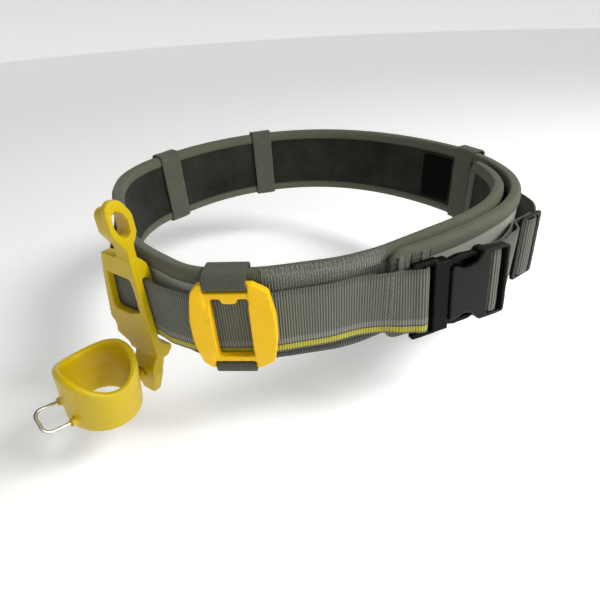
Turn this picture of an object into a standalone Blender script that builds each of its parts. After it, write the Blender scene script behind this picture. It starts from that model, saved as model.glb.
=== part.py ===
"""Hammer holder belt: a padded waist belt wound once round, a webbing strap over it with its
side-release buckle and slide, four webbing keepers, a yellow accessory frame, and a moulded
hammer holder with a swinging ring and a wire loop.

Row frame: metres, +Z up, origin in the middle of the waist opening at half the belt's height.
The front of the belt faces -Y. Bearings go clockwise seen from above: 0 is the right side (+X),
90 the front (-Y), 180 the left side, 270 the back. Lengths below are in millimetres.
"""
import math

import bmesh
import bpy
import numpy as np
from mathutils import Matrix, Vector

MM = 0.001

# Padded belt
BELT_HEIGHT = 75.0
BELT_EDGE_RADIUS = 4.2
BELT_END_RADIUS = 9.0
BELT_STEP_DEG = 4.0
GAP = 0.35

# One row for each stretch of the padded strip, from its inner end at the right side, down the
# front, round the left and the back, and over itself to its outer end at the right front
BELT_ROWS = (
    # bearing, radius of the middle of the pad, thickness of the pad
    (-5.0, 171.5, 8.0),
    (5.0, 175.5, 9.4),
    (15.0, 177.0, 9.8),
    (25.0, 173.5, 10.0),
    (35.0, 168.0, 10.0),
    (45.0, 162.5, 9.8),
    (57.0, 158.5, 9.2),
    (66.0, 159.6, 8.4),
    (74.0, 163.8, 8.4),
    (83.0, 168.8, 10.0),
    (93.0, 173.0, 10.0),
    (101.0, 179.0, 10.0),
    (108.0, 183.8, 10.0),
    (116.0, 187.0, 10.0),
    (125.0, 182.5, 10.0),
    (138.0, 177.5, 10.0),
    (152.0, 172.5, 10.0),
    (166.0, 171.5, 10.0),
    (180.0, 179.5, 10.0),
    (192.0, 185.5, 10.0),
    (202.0, 185.5, 10.0),
    (216.0, 179.0, 10.0),
    (236.0, 175.0, 10.0),
    (258.0, 172.5, 10.0),
    (280.0, 170.5, 10.0),
    (300.0, 168.8, 10.0),
    (319.0, 170.0, 10.0),
    (332.0, 174.5, 10.0),
    (345.0, 182.0, 10.0),
    (358.0, 187.5, 10.0),
    (371.0, 190.8, 10.0),
    (382.0, 189.0, 10.0),
    (392.0, 183.5, 10.0),
    (402.0, 177.0, 10.0),
    (412.0, 173.0, 9.8),
    (423.0, 171.6, 8.4),
    (432.5, 172.2, 6.6),
)

# Waist strap: how far it stands off the pad's outer face, beside its own gap
STRAP_WIDTH = 50.0
STRAP_THICK = 2.0
STRAP_MID_Z = -3.5
STRAP_LIFT = (
    # bearing, extra distance
    (78.0, 0.9),
    (90.0, 0.3),
    (112.0, 0.1),
    (124.0, 6.4),
    (132.0, 10.8),
    (138.0, 13.2),
    (145.0, 9.5),
    (152.0, 5.0),
    (160.0, 1.2),
    (168.0, 0.1),
    (358.0, 0.1),
)
STRAP_STEP_DEG = 7.0
STRAP_RISE = (
    # bearing, how far the webbing's middle is above its usual height
    (66.0, 3.6),
    (101.0, 0.0),
)

# Keepers round belt and strap
KEEPER_THICK = 1.6
KEEPER_WIDTH = 25.0
KEEPERS = (
    # name, bearing
    ("keeper_left_back", 212.5),
    ("keeper_centre_back", 254.0),
    ("keeper_right_back", 345.5),
)

# Hook-and-loop patch on the belt's inner face
PATCH_FROM, PATCH_TO = 328.0, 340.0
PATCH_HEIGHT = 48.0
PATCH_THICK = 1.2

# Accessory frame on the front keeper
FRAME_AT = (-54.4, -183.4)
FRAME_YAW = -5.0
FRAME_HALF_WIDTH = 28.9
FRAME_HALF_HEIGHT = 35.0
FRAME_MID_Z = -0.5
FRAME_THICK = 4.5
FRAME_CROWN = 3.0
FRAME_WINDOW = (-13.5, 11.5, -24.8, 23.0)
FRAME_BAR = 4.6
FRAME_SLOT = 3.8
FRONT_KEEPER_WIDTH = 28.4
FRONT_KEEPER_MIDDLE = -2.6

# Hammer holder, in its own axes: x along the plate to the right, y towards the belt
HOLDER_AT = (-119.5, -157.5)
HOLDER_YAW = -36.3
TAIL_FACE = 10.5
PIVOT_T, PIVOT_Z = -18.5, -63.5
BOSS_RADIUS = 5.0
STUD_RADIUS = 3.5
STUD_PLAY = 0.4

# Hammer ring, about its pivot
RING_OUT = 46.0
RING_ASIDE = 1.1
RING_RIM_RADIUS = 29.2
RING_FOOT_RADIUS = 27.0
RING_RIM_SHIFT = 3.5
RING_RIM_SQUASH = 0.08
RING_WALL = 6.0
RING_FOOT_WALL = 10.5
RING_RIM_Z = 34.3
RING_SADDLE = 6.2
RING_FOOT_Z = -8.8
RING_SWING = 9.5
RING_PITCH = -5.3

# Wire loop
WIRE_RADIUS = 1.5
WIRE_BEARING = -3.8
WIRE_MIDDLE_Z = 6.4
WIRE_LEAN = -64.0
WIRE_DROOP = -8.8
WIRE_HALF_WIDTH = 8.9
WIRE_LENGTH = 19.5
WIRE_CORNER = 5.5
LUG_RADIUS = 3.2
LUG_REACH = 2.2

# Buckle and slide
BUCKLE_AT, BUCKLE_MID_Z = (113.2, -154.5), 0.6
BUCKLE_YAW, BUCKLE_ROLL = 21.8, -6.6
SLIDE_AT, SLIDE_MID_Z = (181.9, -89.6), -4.4
SLIDE_YAW, SLIDE_ROLL = 35.0, -3.0


def clear_scene():
    for item in list(bpy.data.objects):
        bpy.data.objects.remove(item, do_unlink=True)


def material(name, colour, roughness, metallic=0.0):
    found = bpy.data.materials.get(name)
    if found:
        return found
    made = bpy.data.materials.new(name)
    made.use_nodes = True
    shader = made.node_tree.nodes["Principled BSDF"]
    shader.inputs["Base Color"].default_value = (*colour, 1.0)
    shader.inputs["Roughness"].default_value = roughness
    shader.inputs["Metallic"].default_value = metallic
    return made


def smooth_rows(rows, at):
    """Value of each column at a bearing, by a cubic through the table's rows."""
    table = np.array(rows, dtype=float)
    keys, values = table[:, 0], table[:, 1:]
    slopes = np.gradient(values, keys, axis=0)
    at = min(max(at, keys[0]), keys[-1])
    low = int(min(np.searchsorted(keys, at, side="right") - 1, len(keys) - 2))
    span = keys[low + 1] - keys[low]
    u = (at - keys[low]) / span
    return ((2 * u ** 3 - 3 * u ** 2 + 1) * values[low]
            + (u ** 3 - 2 * u ** 2 + u) * span * slopes[low]
            + (3 * u ** 2 - 2 * u ** 3) * values[low + 1]
            + (u ** 3 - u ** 2) * span * slopes[low + 1])


def straight_rows(rows, at):
    table = np.array(rows, dtype=float)
    return float(np.interp(at, table[:, 0], table[:, 1]))


def polar(bearing, radius):
    angle = math.radians(bearing)
    return np.array((radius * math.cos(angle), -radius * math.sin(angle)))


def belt_middle(bearing):
    radius, thick = smooth_rows(BELT_ROWS, bearing)
    return polar(bearing, radius), float(thick)


def belt_station(bearing):
    """Middle point, direction of winding, outward normal and thickness at a bearing."""
    before, _ = belt_middle(bearing - 0.5)
    after, _ = belt_middle(bearing + 0.5)
    middle, thick = belt_middle(bearing)
    along = (after - before) / np.linalg.norm(after - before)
    outward = np.array((along[1], -along[0]))
    if outward @ middle < 0:
        outward = -outward
    return middle, along, outward, thick


def mesh_object(name, bm, finish, smooth_angle=35.0):
    bmesh.ops.recalc_face_normals(bm, faces=bm.faces)
    mesh = bpy.data.meshes.new(name)
    bm.to_mesh(mesh)
    bm.free()
    mesh.shade_smooth()
    mesh.set_sharp_from_angle(angle=math.radians(smooth_angle))
    made = bpy.data.objects.new(name, mesh)
    bpy.context.scene.collection.objects.link(made)
    if finish:
        mesh.materials.append(finish)
    return made


def loft(rings, closed_path=False):
    """Skin a list of rings of points (mm), each with the same count, into one closed body."""
    bm = bmesh.new()
    skin = [[bm.verts.new(Vector(point) * MM) for point in ring] for ring in rings]
    count = len(skin[0])
    pairs = list(zip(skin, skin[1:]))
    if closed_path:
        pairs.append((skin[-1], skin[0]))
    for first, second in pairs:
        for i in range(count):
            j = (i + 1) % count
            bm.faces.new((first[i], first[j], second[j], second[i]))
    if not closed_path:
        bm.faces.new(skin[0])
        bm.faces.new(skin[-1])
    return bm


def extrude_profile(outline, low, high, axis="x"):
    """Closed prism of a 2D outline (mm). Axis x takes (y, z) points, y takes (x, z), z takes (x, y)."""
    def place(point, level):
        if axis == "x":
            return (level, point[0], point[1])
        if axis == "y":
            return (point[0], level, point[1])
        return (point[0], point[1], level)
    return loft([[place(p, low) for p in outline], [place(p, high) for p in outline]])


def rounded_outline(corners, steps=3):
    """Corners given as (x, y, radius) joined by arcs."""
    points = []
    count = len(corners)
    for i, (x, y, radius) in enumerate(corners):
        here = np.array((x, y))
        back = np.array(corners[i - 1][:2]) - here
        ahead = np.array(corners[(i + 1) % count][:2]) - here
        back /= np.linalg.norm(back)
        ahead /= np.linalg.norm(ahead)
        if radius <= 0:
            points.append(tuple(here))
            continue
        half = math.acos(max(-1.0, min(1.0, float(back @ ahead)))) / 2
        reach = radius / math.tan(half)
        bisector = (back + ahead) / np.linalg.norm(back + ahead)
        centre = here + bisector * radius / math.sin(half)
        start = here + back * reach - centre
        end = here + ahead * reach - centre
        first = math.atan2(start[1], start[0])
        turn = (math.atan2(end[1], end[0]) - first + math.pi) % (2 * math.pi) - math.pi
        for k in range(steps + 1):
            angle = first + turn * k / steps
            points.append((centre[0] + radius * math.cos(angle), centre[1] + radius * math.sin(angle)))
    return points


def box(x0, x1, y0, y1, z0, z1):
    return extrude_profile(((x0, y0), (x1, y0), (x1, y1), (x0, y1)), z0, z1, "z")


def cylinder(radius, start, end, sides=24):
    """Closed cylinder between two points (mm)."""
    start, end = Vector(start), Vector(end)
    turn = (end - start).to_track_quat("Z", "Y")
    rings = []
    for middle in (start, end):
        rings.append([middle + turn @ Vector((radius * math.cos(a), radius * math.sin(a), 0.0))
                      for a in (2 * math.pi * k / sides for k in range(sides))])
    return loft(rings)


def boolean(target, cutters, operation):
    """Apply EXACT Booleans with helper bodies, which are removed afterwards."""
    for number, cutter_mesh in enumerate(cutters):
        cutter = mesh_object(f"{target.name}_{operation.lower()}_{number}", cutter_mesh, None)
        cutter.hide_render = True
        cutter.display_type = "WIRE"
        step = target.modifiers.new("join", "BOOLEAN")
        step.operation = operation
        step.solver = "EXACT"
        step.object = cutter
        bpy.context.view_layer.update()
        shaped = bpy.data.meshes.new_from_object(
            target.evaluated_get(bpy.context.evaluated_depsgraph_get()))
        target.modifiers.clear()
        target.data = shaped
        bpy.data.objects.remove(cutter, do_unlink=True)
    shaped = target.data
    shaped.shade_smooth()
    shaped.set_sharp_from_angle(angle=math.radians(35.0))
    return target


def place(thing, at, yaw, mid_z=0.0, roll=0.0):
    thing.location = (at[0] * MM, at[1] * MM, mid_z * MM)
    thing.rotation_euler = (math.radians(roll), 0.0, math.radians(yaw))
    return thing


def smooth_path(points, pieces=2):
    """Catmull-Rom curve through plan points, each stretch cut into a few pieces."""
    points = [np.array(p, dtype=float) for p in points]
    padded = [2 * points[0] - points[1]] + points + [2 * points[-1] - points[-2]]
    path = []
    for i in range(1, len(padded) - 2):
        p0, p1, p2, p3 = padded[i - 1:i + 3]
        chord = np.linalg.norm(p2 - p1)
        m1 = (p2 - p0) / (np.linalg.norm(p2 - p1) + np.linalg.norm(p1 - p0)) * chord
        m2 = (p3 - p1) / (np.linalg.norm(p3 - p2) + np.linalg.norm(p2 - p1)) * chord
        for k in range(pieces):
            u = k / pieces
            path.append((2 * u ** 3 - 3 * u ** 2 + 1) * p1 + (u ** 3 - 2 * u ** 2 + u) * m1
                        + (3 * u ** 2 - 2 * u ** 3) * p2 + (u ** 3 - u ** 2) * m2)
    path.append(points[-1])
    return path


def upright_band(path, thick, low, high):
    """A strip of webbing: a path of (y, z) points, its thickness, and its width along x."""
    rings = []
    for i, point in enumerate(path):
        before = path[max(i - 1, 0)]
        after = path[min(i + 1, len(path) - 1)]
        along = (after - before) / np.linalg.norm(after - before)
        side = np.array((-along[1], along[0])) * thick / 2
        left, right = point + side, point - side
        rings.append([(low, *left), (low, *right), (high, *right), (high, *left)])
    return loft(rings)


def pad_section(half_height, half_thick):
    """Rounded upright section of the pad as (outward, z) points."""
    radius = min(BELT_EDGE_RADIUS, half_thick - 0.05, half_height - 0.05)
    corners = ((half_thick, -half_height), (half_thick, half_height),
               (-half_thick, half_height), (-half_thick, -half_height))
    return rounded_outline([(x, z, radius) for x, z in corners], steps=2)


def padded_belt():
    first, last = BELT_ROWS[0][0], BELT_ROWS[-1][0]
    bearings = list(np.arange(first, last, BELT_STEP_DEG)) + [last]
    length_mm_per_deg = math.radians(1.0) * BELT_ROWS[-1][1]
    end_deg = BELT_END_RADIUS / length_mm_per_deg
    extra = [end_deg * (1 - math.cos(math.radians(a))) for a in (0.0, 30.0, 60.0)]
    bearings = sorted({round(b, 3) for b in bearings if first + end_deg < b < last - end_deg}
                      | {round(first + e, 3) for e in extra + [end_deg]}
                      | {round(last - e, 3) for e in extra + [end_deg]})
    rings = []
    for bearing in bearings:
        middle, _, outward, thick = belt_station(bearing)
        from_end = min(bearing - first, last - bearing) * length_mm_per_deg
        short = max(0.0, BELT_END_RADIUS - from_end)
        half_height = BELT_HEIGHT / 2 - BELT_END_RADIUS + math.sqrt(BELT_END_RADIUS ** 2 - short ** 2)
        rings.append([(*(middle + outward * out), z)
                      for out, z in pad_section(half_height, thick / 2)])
    return mesh_object("padded_belt", loft(rings), material("padded_fabric", (0.10, 0.105, 0.085), 0.9))


def strap_node(bearing):
    """Middle of the webbing on the pad and its direction across, at a bearing."""
    middle, _, outward, thick = belt_station(bearing)
    reach = thick / 2 + GAP + STRAP_THICK / 2 + straight_rows(STRAP_LIFT, bearing)
    plan = middle + outward * reach
    return np.array((*plan, STRAP_MID_Z + straight_rows(STRAP_RISE, bearing), 0.0, 0.0, 1.0))


def plan_nodes(points, mid_z=STRAP_MID_Z):
    """Upright webbing through plan points."""
    return [np.array((x, y, mid_z, 0.0, 0.0, 1.0)) for x, y in points]


def laced_nodes(points, at, mid_z, yaw, roll):
    """Webbing through points given in the axes of the buckle or slide that it's laced on."""
    turn = Matrix.Rotation(math.radians(yaw), 3, "Z") @ Matrix.Rotation(math.radians(roll), 3, "X")
    start = Vector((*at, mid_z))
    across = turn @ Vector((0.0, 0.0, 1.0))
    return [np.array((*(start + turn @ Vector((x, y, 0.0))), *across)) for x, y in points]


def local_to_plan(points, at, yaw):
    c, s = math.cos(math.radians(yaw)), math.sin(math.radians(yaw))
    return [np.array((at[0] + c * x - s * y, at[1] + s * x + c * y)) for x, y in points]


def webbing(name, nodes, pieces):
    """A strip of the waist strap's webbing through nodes of (middle point, direction across)."""
    path = np.array(smooth_path(nodes, pieces))
    ahead = np.gradient(path[:, :3], axis=0)
    rings = []
    for middle, across, along in zip(path[:, :3], path[:, 3:], ahead):
        edge = across / np.linalg.norm(across) * STRAP_WIDTH / 2
        side = np.cross(edge, along)
        side *= STRAP_THICK / 2 / np.linalg.norm(side)
        rings.append([middle + side - edge, middle - side - edge, middle - side + edge, middle + side + edge])
    return mesh_object(name, loft(rings), material("grey_webbing", (0.19, 0.19, 0.16), 0.8))


def waist_strap():
    buckle = (BUCKLE_AT, BUCKLE_MID_Z, BUCKLE_YAW, BUCKLE_ROLL)
    sewn_end = laced_nodes(((-52.5, 5.6), (-48.0, 4.0), (-44.0, 3.5), (-40.4, 3.4), (-38.0, 2.5),
                            (-36.9, 0.0), (-37.8, -2.4), (-40.2, -3.4), (-43.4, -2.6), (-48.0, 0.3),
                            (-54.0, 3.0)), *buckle)
    over_end = plan_nodes((polar(73.5, 178.2),), STRAP_MID_Z + 3.0)
    front = [strap_node(b) for b in np.arange(80.0, 123.0, STRAP_STEP_DEG)]
    hook = ((6.0, 3.3), (-1.0, 3.8), (-16.0, 3.8), (-32.0, 3.8), (-46.5, 4.4))
    through_hook = plan_nodes(local_to_plan(hook, HOLDER_AT, HOLDER_YAW))
    round_back = [strap_node(b) for b in np.arange(146.0, 366.0, STRAP_STEP_DEG)]
    bend = plan_nodes(((197.0, -36.0), (198.4, -50.0), (198.2, -62.0)))
    half_slide = ((12.0, 0.8), (9.2, -0.2), (7.0, -1.9), (5.2, -4.0), (2.8, -5.1))
    slide = laced_nodes(((15.5, 1.8),) + half_slide + ((0.0, -5.4),)
                        + tuple((-x, y) for x, y in reversed(half_slide)) + ((-16.0, 0.2),),
                        SLIDE_AT, SLIDE_MID_Z, SLIDE_YAW, SLIDE_ROLL)
    free_span = plan_nodes(((163.0, -112.4),), (SLIDE_MID_Z + BUCKLE_MID_Z) / 2)
    adjust_end = laced_nodes(((46.5, 10.9), (38.5, 6.6), (31.5, 4.4), (27.7, 3.4), (25.7, 1.6), (24.7, -0.6),
                              (23.7, -3.0), (21.9, -4.3), (19.9, -4.6), (17.7, -4.2), (16.1, -2.6),
                              (15.5, 0.5), (15.5, 4.6)), *buckle)
    return webbing("waist_strap", sewn_end + over_end + front + through_hook + round_back + bend + slide
                   + free_span + adjust_end, 2)


def strap_tail():
    near = laced_nodes(((18.9, 7.4), (26.5, 6.4), (32.5, 7.2), (39.5, 10.2)),
                       BUCKLE_AT, BUCKLE_MID_Z, BUCKLE_YAW, BUCKLE_ROLL)
    middle = plan_nodes(((158.6, -109.4),), (SLIDE_MID_Z + BUCKLE_MID_Z) / 2)
    far = laced_nodes(((-15.0, 3.4), (-6.0, 3.6), (4.0, 3.6), (12.0, 4.6)),
                      SLIDE_AT, SLIDE_MID_Z, SLIDE_YAW, SLIDE_ROLL)
    return webbing("strap_tail", near + middle + far, 3)


def keeper(name, bearing):
    """A band round pad and strap, bent along the belt."""
    degrees = math.degrees(KEEPER_WIDTH / 180.0)
    rings_in, rings_out = [], []
    for step in np.linspace(-0.5, 0.5, 4):
        middle, _, outward, thick = belt_station(bearing + step * degrees)
        inner_reach = -thick / 2 - GAP
        outer_reach = thick / 2 + GAP + STRAP_THICK + 0.1 + GAP
        half_height = BELT_HEIGHT / 2 + GAP
        for rings, grow in ((rings_in, 0.0), (rings_out, KEEPER_THICK)):
            section = rounded_outline([(outer_reach + grow, -half_height - grow, 2.5 + grow),
                                       (outer_reach + grow, half_height + grow, 2.5 + grow),
                                       (inner_reach - grow, half_height + grow, 2.5 + grow),
                                       (inner_reach - grow, -half_height - grow, 2.5 + grow)], steps=2)
            rings.append([(*(middle + outward * out), z) for out, z in section])
    bm = bmesh.new()
    skins = [[[bm.verts.new(Vector(p) * MM) for p in ring] for ring in rings]
             for rings in (rings_in, rings_out)]
    count = len(skins[0][0])
    for skin in skins:
        for first, second in zip(skin, skin[1:]):
            for i in range(count):
                bm.faces.new((first[i], first[(i + 1) % count], second[(i + 1) % count], second[i]))
    for end in (0, -1):
        inner, outer = skins[0][end], skins[1][end]
        for i in range(count):
            bm.faces.new((inner[i], inner[(i + 1) % count], outer[(i + 1) % count], outer[i]))
    return mesh_object(name, bm, material("keeper_webbing", (0.09, 0.095, 0.075), 0.85))


def closure_patch():
    rings = []
    for bearing in np.linspace(PATCH_FROM, PATCH_TO, 5):
        middle, _, outward, thick = belt_station(bearing)
        low, high = -thick / 2 - GAP - PATCH_THICK - 0.1, -thick / 2 - GAP - 0.1
        rings.append([(*(middle + outward * out), z) for out, z in
                      ((low, -PATCH_HEIGHT / 2), (high, -PATCH_HEIGHT / 2),
                       (high, PATCH_HEIGHT / 2), (low, PATCH_HEIGHT / 2))])
    return mesh_object("closure_patch", loft(rings), material("hook_tape", (0.03, 0.03, 0.028), 0.95))


def accessory_frame():
    """Frame with crowned side bars, a window, two slots for the keeper, and a tab in the window."""
    w, h = FRAME_HALF_WIDTH, FRAME_HALF_HEIGHT
    outline = rounded_outline(((-w, 9.0, 30.0), (-w + 3.5, h - 6.0, 5.0), (-20.0, h, 2.0), (15.0, h, 2.0),
                               (w - 3.5, h - 6.0, 5.0), (w, 9.0, 30.0), (w, -9.0, 30.0),
                               (w - 3.5, -h + 6.0, 5.0), (15.0, -h, 2.0), (-20.0, -h, 2.0),
                               (-w + 3.5, -h + 6.0, 5.0), (-w, -9.0, 30.0)))
    outline = [(x, z + FRAME_MID_Z) for x, z in outline]
    back = -GAP
    frame = mesh_object("accessory_frame",
                        extrude_profile(outline, -FRAME_THICK - FRAME_CROWN + back, back, "y"),
                        material("golden_plastic", (0.93, 0.52, 0.03), 0.3))
    x0, x1, z0, z1 = FRAME_WINDOW
    middle = (x0 + x1) / 2
    window = rounded_outline(((x0, z0, 1.5), (x1, z0, 1.5), (x1, z1, 1.5), (middle + 6.0, z1, 0.0),
                              (middle + 4.5, z1 - 3.8, 1.0), (middle - 4.5, z1 - 3.8, 1.0),
                              (middle - 6.0, z1, 0.0), (x0, z1, 1.5)))
    cuts = [extrude_profile(window, -20.0, 10.0, "y")]
    left = FRONT_KEEPER_MIDDLE - FRONT_KEEPER_WIDTH / 2 - 0.5
    right = FRONT_KEEPER_MIDDLE + FRONT_KEEPER_WIDTH / 2 + 0.5
    for side in (-1, 1):
        edge = z1 if side > 0 else -z0
        inner, outer = side * (edge + FRAME_BAR), side * (edge + FRAME_BAR + FRAME_SLOT)
        cuts.append(box(left, right, -20.0, 10.0, min(inner, outer), max(inner, outer)))
        # the end bar and the bar beside the window are thinner than the side bars
        low, high = sorted((side * (edge + FRAME_BAR), side * (h + 5.0)))
        cuts.append(box(left, right, -20.0, -FRAME_THICK + back, low, high))
        low, high = sorted((side * (edge - 5.0), side * (edge + FRAME_BAR + 0.5)))
        cuts.append(box(left, right, -20.0, -FRAME_THICK - 1.0 + back, low, high))
        # the bars' ends are shaved back to give the side bars their arch
        wedge = ((-FRAME_THICK - FRAME_CROWN + back - 0.6, side * 14.0), (-20.0, side * 14.0),
                 (-20.0, side * 50.0), (-FRAME_THICK + back + 1.2, side * 50.0))
        cuts.append(extrude_profile(wedge, -40.0, 40.0, "x"))
    return place(boolean(frame, cuts, "DIFFERENCE"), FRAME_AT, FRAME_YAW)


def front_keeper():
    """Band from the frame's upper slot over the pad, down its inner face and up to the lower slot."""
    _, _, z0, z1 = FRAME_WINDOW
    half = FRONT_KEEPER_WIDTH / 2
    middle = FRONT_KEEPER_MIDDLE
    front = -FRAME_THICK - 2 * GAP - KEEPER_THICK / 2
    inside = 16.4
    top = BELT_HEIGHT / 2 + GAP + KEEPER_THICK / 2 + 0.4
    slot = z1 + FRAME_BAR + FRAME_SLOT / 2
    low_slot = z0 - FRAME_BAR - FRAME_SLOT / 2
    points = ((1.1, slot + 5.0), (0.9, slot + 1.6), (-0.6, slot + 0.1), (-3.4, slot),
              (front + 1.0, slot + 0.5), (front, slot + 2.2), (front + 0.2, top - 2.2),
              (front + 2.4, top), (4.0, top + 0.3),
              (inside - 3.0, top), (inside - 0.4, top - 2.2), (inside, 20.0), (inside, 0.0), (inside, -20.0),
              (inside - 0.4, -top + 2.2), (inside - 3.0, -top), (4.0, -top - 0.3), (front + 2.4, -top),
              (front + 0.2, -top + 2.2), (front, low_slot - 2.2), (front + 1.0, low_slot - 0.5),
              (-3.4, low_slot), (-0.6, low_slot - 0.1), (0.9, low_slot - 1.6), (1.1, low_slot - 4.4))
    body = upright_band(smooth_path(points), KEEPER_THICK, middle - half, middle + half)
    return place(mesh_object("keeper_front", body, material("keeper_webbing", (0.09, 0.095, 0.075), 0.85)),
                 FRAME_AT, FRAME_YAW)


def holder_plate():
    """Plate, top hook, bottom lip, tail and finger loop as one moulding. y faces the belt."""
    yellow = material("lemon_plastic", (0.80, 0.62, 0.06), 0.35)
    face = rounded_outline(((-32.5, 39.5, 3.0), (-39.0, 18.0, 0.0), (-48.0, -22.0, 2.0), (-44.0, -27.0, 2.0),
                            (-46.0, -37.0, 2.0), (-27.0, -46.0, 4.0), (0.0, -46.0, 0.0), (0.0, 39.5, 0.8)))
    holder = mesh_object("holder_plate", extrude_profile(face, -4.8, 1.2, "y"), yellow)
    hook = rounded_outline(((-3.0, 39.0, 2.0), (3.5, 39.0, 4.0), (8.8, 32.0, 5.0), (9.9, 13.0, 0.8),
                            (8.5, 12.4, 0.8), (7.2, 19.5, 1.5), (5.0, 22.8, 1.5), (-1.0, 22.8, 0.0)))
    lip = rounded_outline(((-4.4, -31.0, 0.0), (0.0, -31.0, 1.0), (2.0, -33.0, 2.0), (5.4, -38.0, 0.0),
                           (10.8, -41.6, 1.2), (10.2, -45.0, 2.0), (5.0, -50.0, 3.0), (-4.4, -48.0, 0.0)))
    tail_side = rounded_outline(((-4.2, -38.0, 0.0), (0.6, -38.0, 0.0), (4.0, -48.0, 2.0), (-1.0, -60.0, 6.0),
                                 (-4.0, -84.0, 2.5), (-TAIL_FACE, -84.0, 2.5), (-TAIL_FACE, -56.0, 4.0),
                                 (-4.2, -46.0, 0.0)))
    tail_front = rounded_outline(((-27.0, -30.0, 0.0), (-27.0, -62.0, 6.0), (-24.0, -85.0, 8.0),
                                  (-10.0, -85.0, 8.0), (-2.5, -62.0, 10.0), (-2.5, -30.0, 0.0)))
    ring_end = rounded_outline(((-11.5, 78.5, 6.0), (-6.5, 83.0, 4.5), (1.5, 81.0, 6.0), (7.4, 70.5, 6.0),
                                (7.6, 56.5, 5.0), (2.6, 48.5, 4.0), (2.4, 37.0, 0.0), (-4.2, 37.0, 0.0),
                                (-4.0, 47.0, 4.0), (-11.4, 60.0, 6.0)), steps=2)
    ring_barrel = rounded_outline(((-11.0, 73.0, 6.0), (-7.0, 77.0, 4.5), (1.0, 75.5, 6.0), (5.6, 68.0, 6.0),
                                   (5.6, 57.5, 5.0), (1.6, 50.0, 4.0), (1.4, 37.0, 0.0), (-4.2, 37.0, 0.0),
                                   (-4.0, 48.0, 4.0), (-10.8, 60.0, 6.0)), steps=2)
    ring_hole = rounded_outline(((-7.2, 74.0, 3.0), (-3.6, 75.0, 2.0), (0.0, 72.6, 3.0), (3.0, 67.0, 3.0),
                                 (2.8, 57.5, 2.5), (-1.0, 54.6, 2.0), (-5.4, 59.0, 3.0), (-7.6, 65.0, 4.0)),
                                steps=2)
    tail = mesh_object("tail", extrude_profile(tail_side, -40.0, 10.0, "x"), yellow)
    boolean(tail, [extrude_profile(tail_front, -30.0, 20.0, "y")], "INTERSECT")
    tail_mesh = bmesh.new()
    tail_mesh.from_mesh(tail.data)
    bpy.data.objects.remove(tail, do_unlink=True)
    joins = [extrude_profile(hook, -32.0, -0.3, "x"),
             extrude_profile(lip, -34.0, -0.3, "x"),
             tail_mesh,
             extrude_profile(ring_end, -5.5, -0.6, "x"),
             extrude_profile(ring_barrel, -15.5, -3.0, "x")]
    boolean(holder, joins, "UNION")
    window = rounded_outline(((-33.0, 23.0, 2.0), (-6.5, 23.0, 2.0), (-6.0, -5.0, 2.0), (-19.0, -10.0, 3.0),
                              (-38.0, -10.0, 3.0)))
    cuts = [extrude_profile(ring_hole, -30.0, 10.0, "x"),
            extrude_profile(window, -12.0, 6.0, "y"),
            cylinder(STUD_RADIUS + STUD_PLAY, (PIVOT_T, -30.0, PIVOT_Z), (PIVOT_T, 20.0, PIVOT_Z))]
    boolean(holder, cuts, "DIFFERENCE")
    return place(holder, HOLDER_AT, HOLDER_YAW)


def ring_share(z):
    """How far up the ring a height is: 0 at its foot and 1 at its rim's middle height."""
    return min(1.0, max(0.0, (z - RING_FOOT_Z) / (RING_RIM_Z - RING_FOOT_Z)))


def ring_radius(z):
    return RING_FOOT_RADIUS + (RING_RIM_RADIUS - RING_FOOT_RADIUS) * ring_share(z)


def pitched(x, y, z):
    """The ring and wire are pitched about the pivot, and the boss and stud aren't."""
    c, s = math.cos(math.radians(RING_PITCH)), math.sin(math.radians(RING_PITCH))
    return Vector((x, c * y - s * z, s * y + c * z))


def ring_point(angle, radius, z):
    """A point round the ring's axis: angle 0 points away from the holder, 90 to the right."""
    share = ring_share(z)
    out = radius * (1.0 - RING_RIM_SQUASH * share) * math.cos(angle) + RING_RIM_SHIFT * share
    return pitched(RING_ASIDE + radius * math.sin(angle), -RING_OUT - out, z)


def ring_mesh():
    """Cup-shaped ring with a saddle rim and a thick foot."""
    rows = (
        # share of height, share of wall thickness from the outer face
        (0.0, 0.12), (0.06, 0.0), (0.5, 0.0), (0.93, 0.0), (0.985, 0.15), (1.0, 0.5), (0.985, 0.85),
        (0.93, 1.0), (0.55, 1.0), (0.25, 1.0), (0.06, 1.0), (0.0, 0.88),
    )
    rings = []
    for share, across in rows:
        ring = []
        for k in range(40):
            angle = 2 * math.pi * k / 40
            rim = RING_RIM_Z + RING_SADDLE * math.cos(2 * angle)
            z = RING_FOOT_Z + share * (rim - RING_FOOT_Z)
            flare = max(0.0, 1.0 - (z - RING_FOOT_Z) / 22.0)
            wall = RING_WALL + (RING_FOOT_WALL - RING_WALL) * flare ** 1.5
            ring.append(ring_point(angle, ring_radius(z) - wall * across, z))
        rings.append(ring)
    return loft(rings, closed_path=True)


def wire_axes():
    """Root of the wire on the ring's wall, its outward direction, and the direction across its legs."""
    bearing, droop, lean = (math.radians(a) for a in (WIRE_BEARING, WIRE_DROOP, WIRE_LEAN))
    root = ring_point(bearing, ring_radius(WIRE_MIDDLE_Z), WIRE_MIDDLE_Z)
    level = Vector((math.sin(bearing), -math.cos(bearing), 0.0))
    aside = Vector((math.cos(bearing), math.sin(bearing), 0.0))
    up = Vector((0.0, 0.0, 1.0))
    out = level * math.cos(droop) - up * math.sin(droop)
    across = (up * math.cos(droop) + level * math.sin(droop)) * math.cos(lean) + aside * math.sin(lean)
    return root, pitched(*out), pitched(*across)


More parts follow.
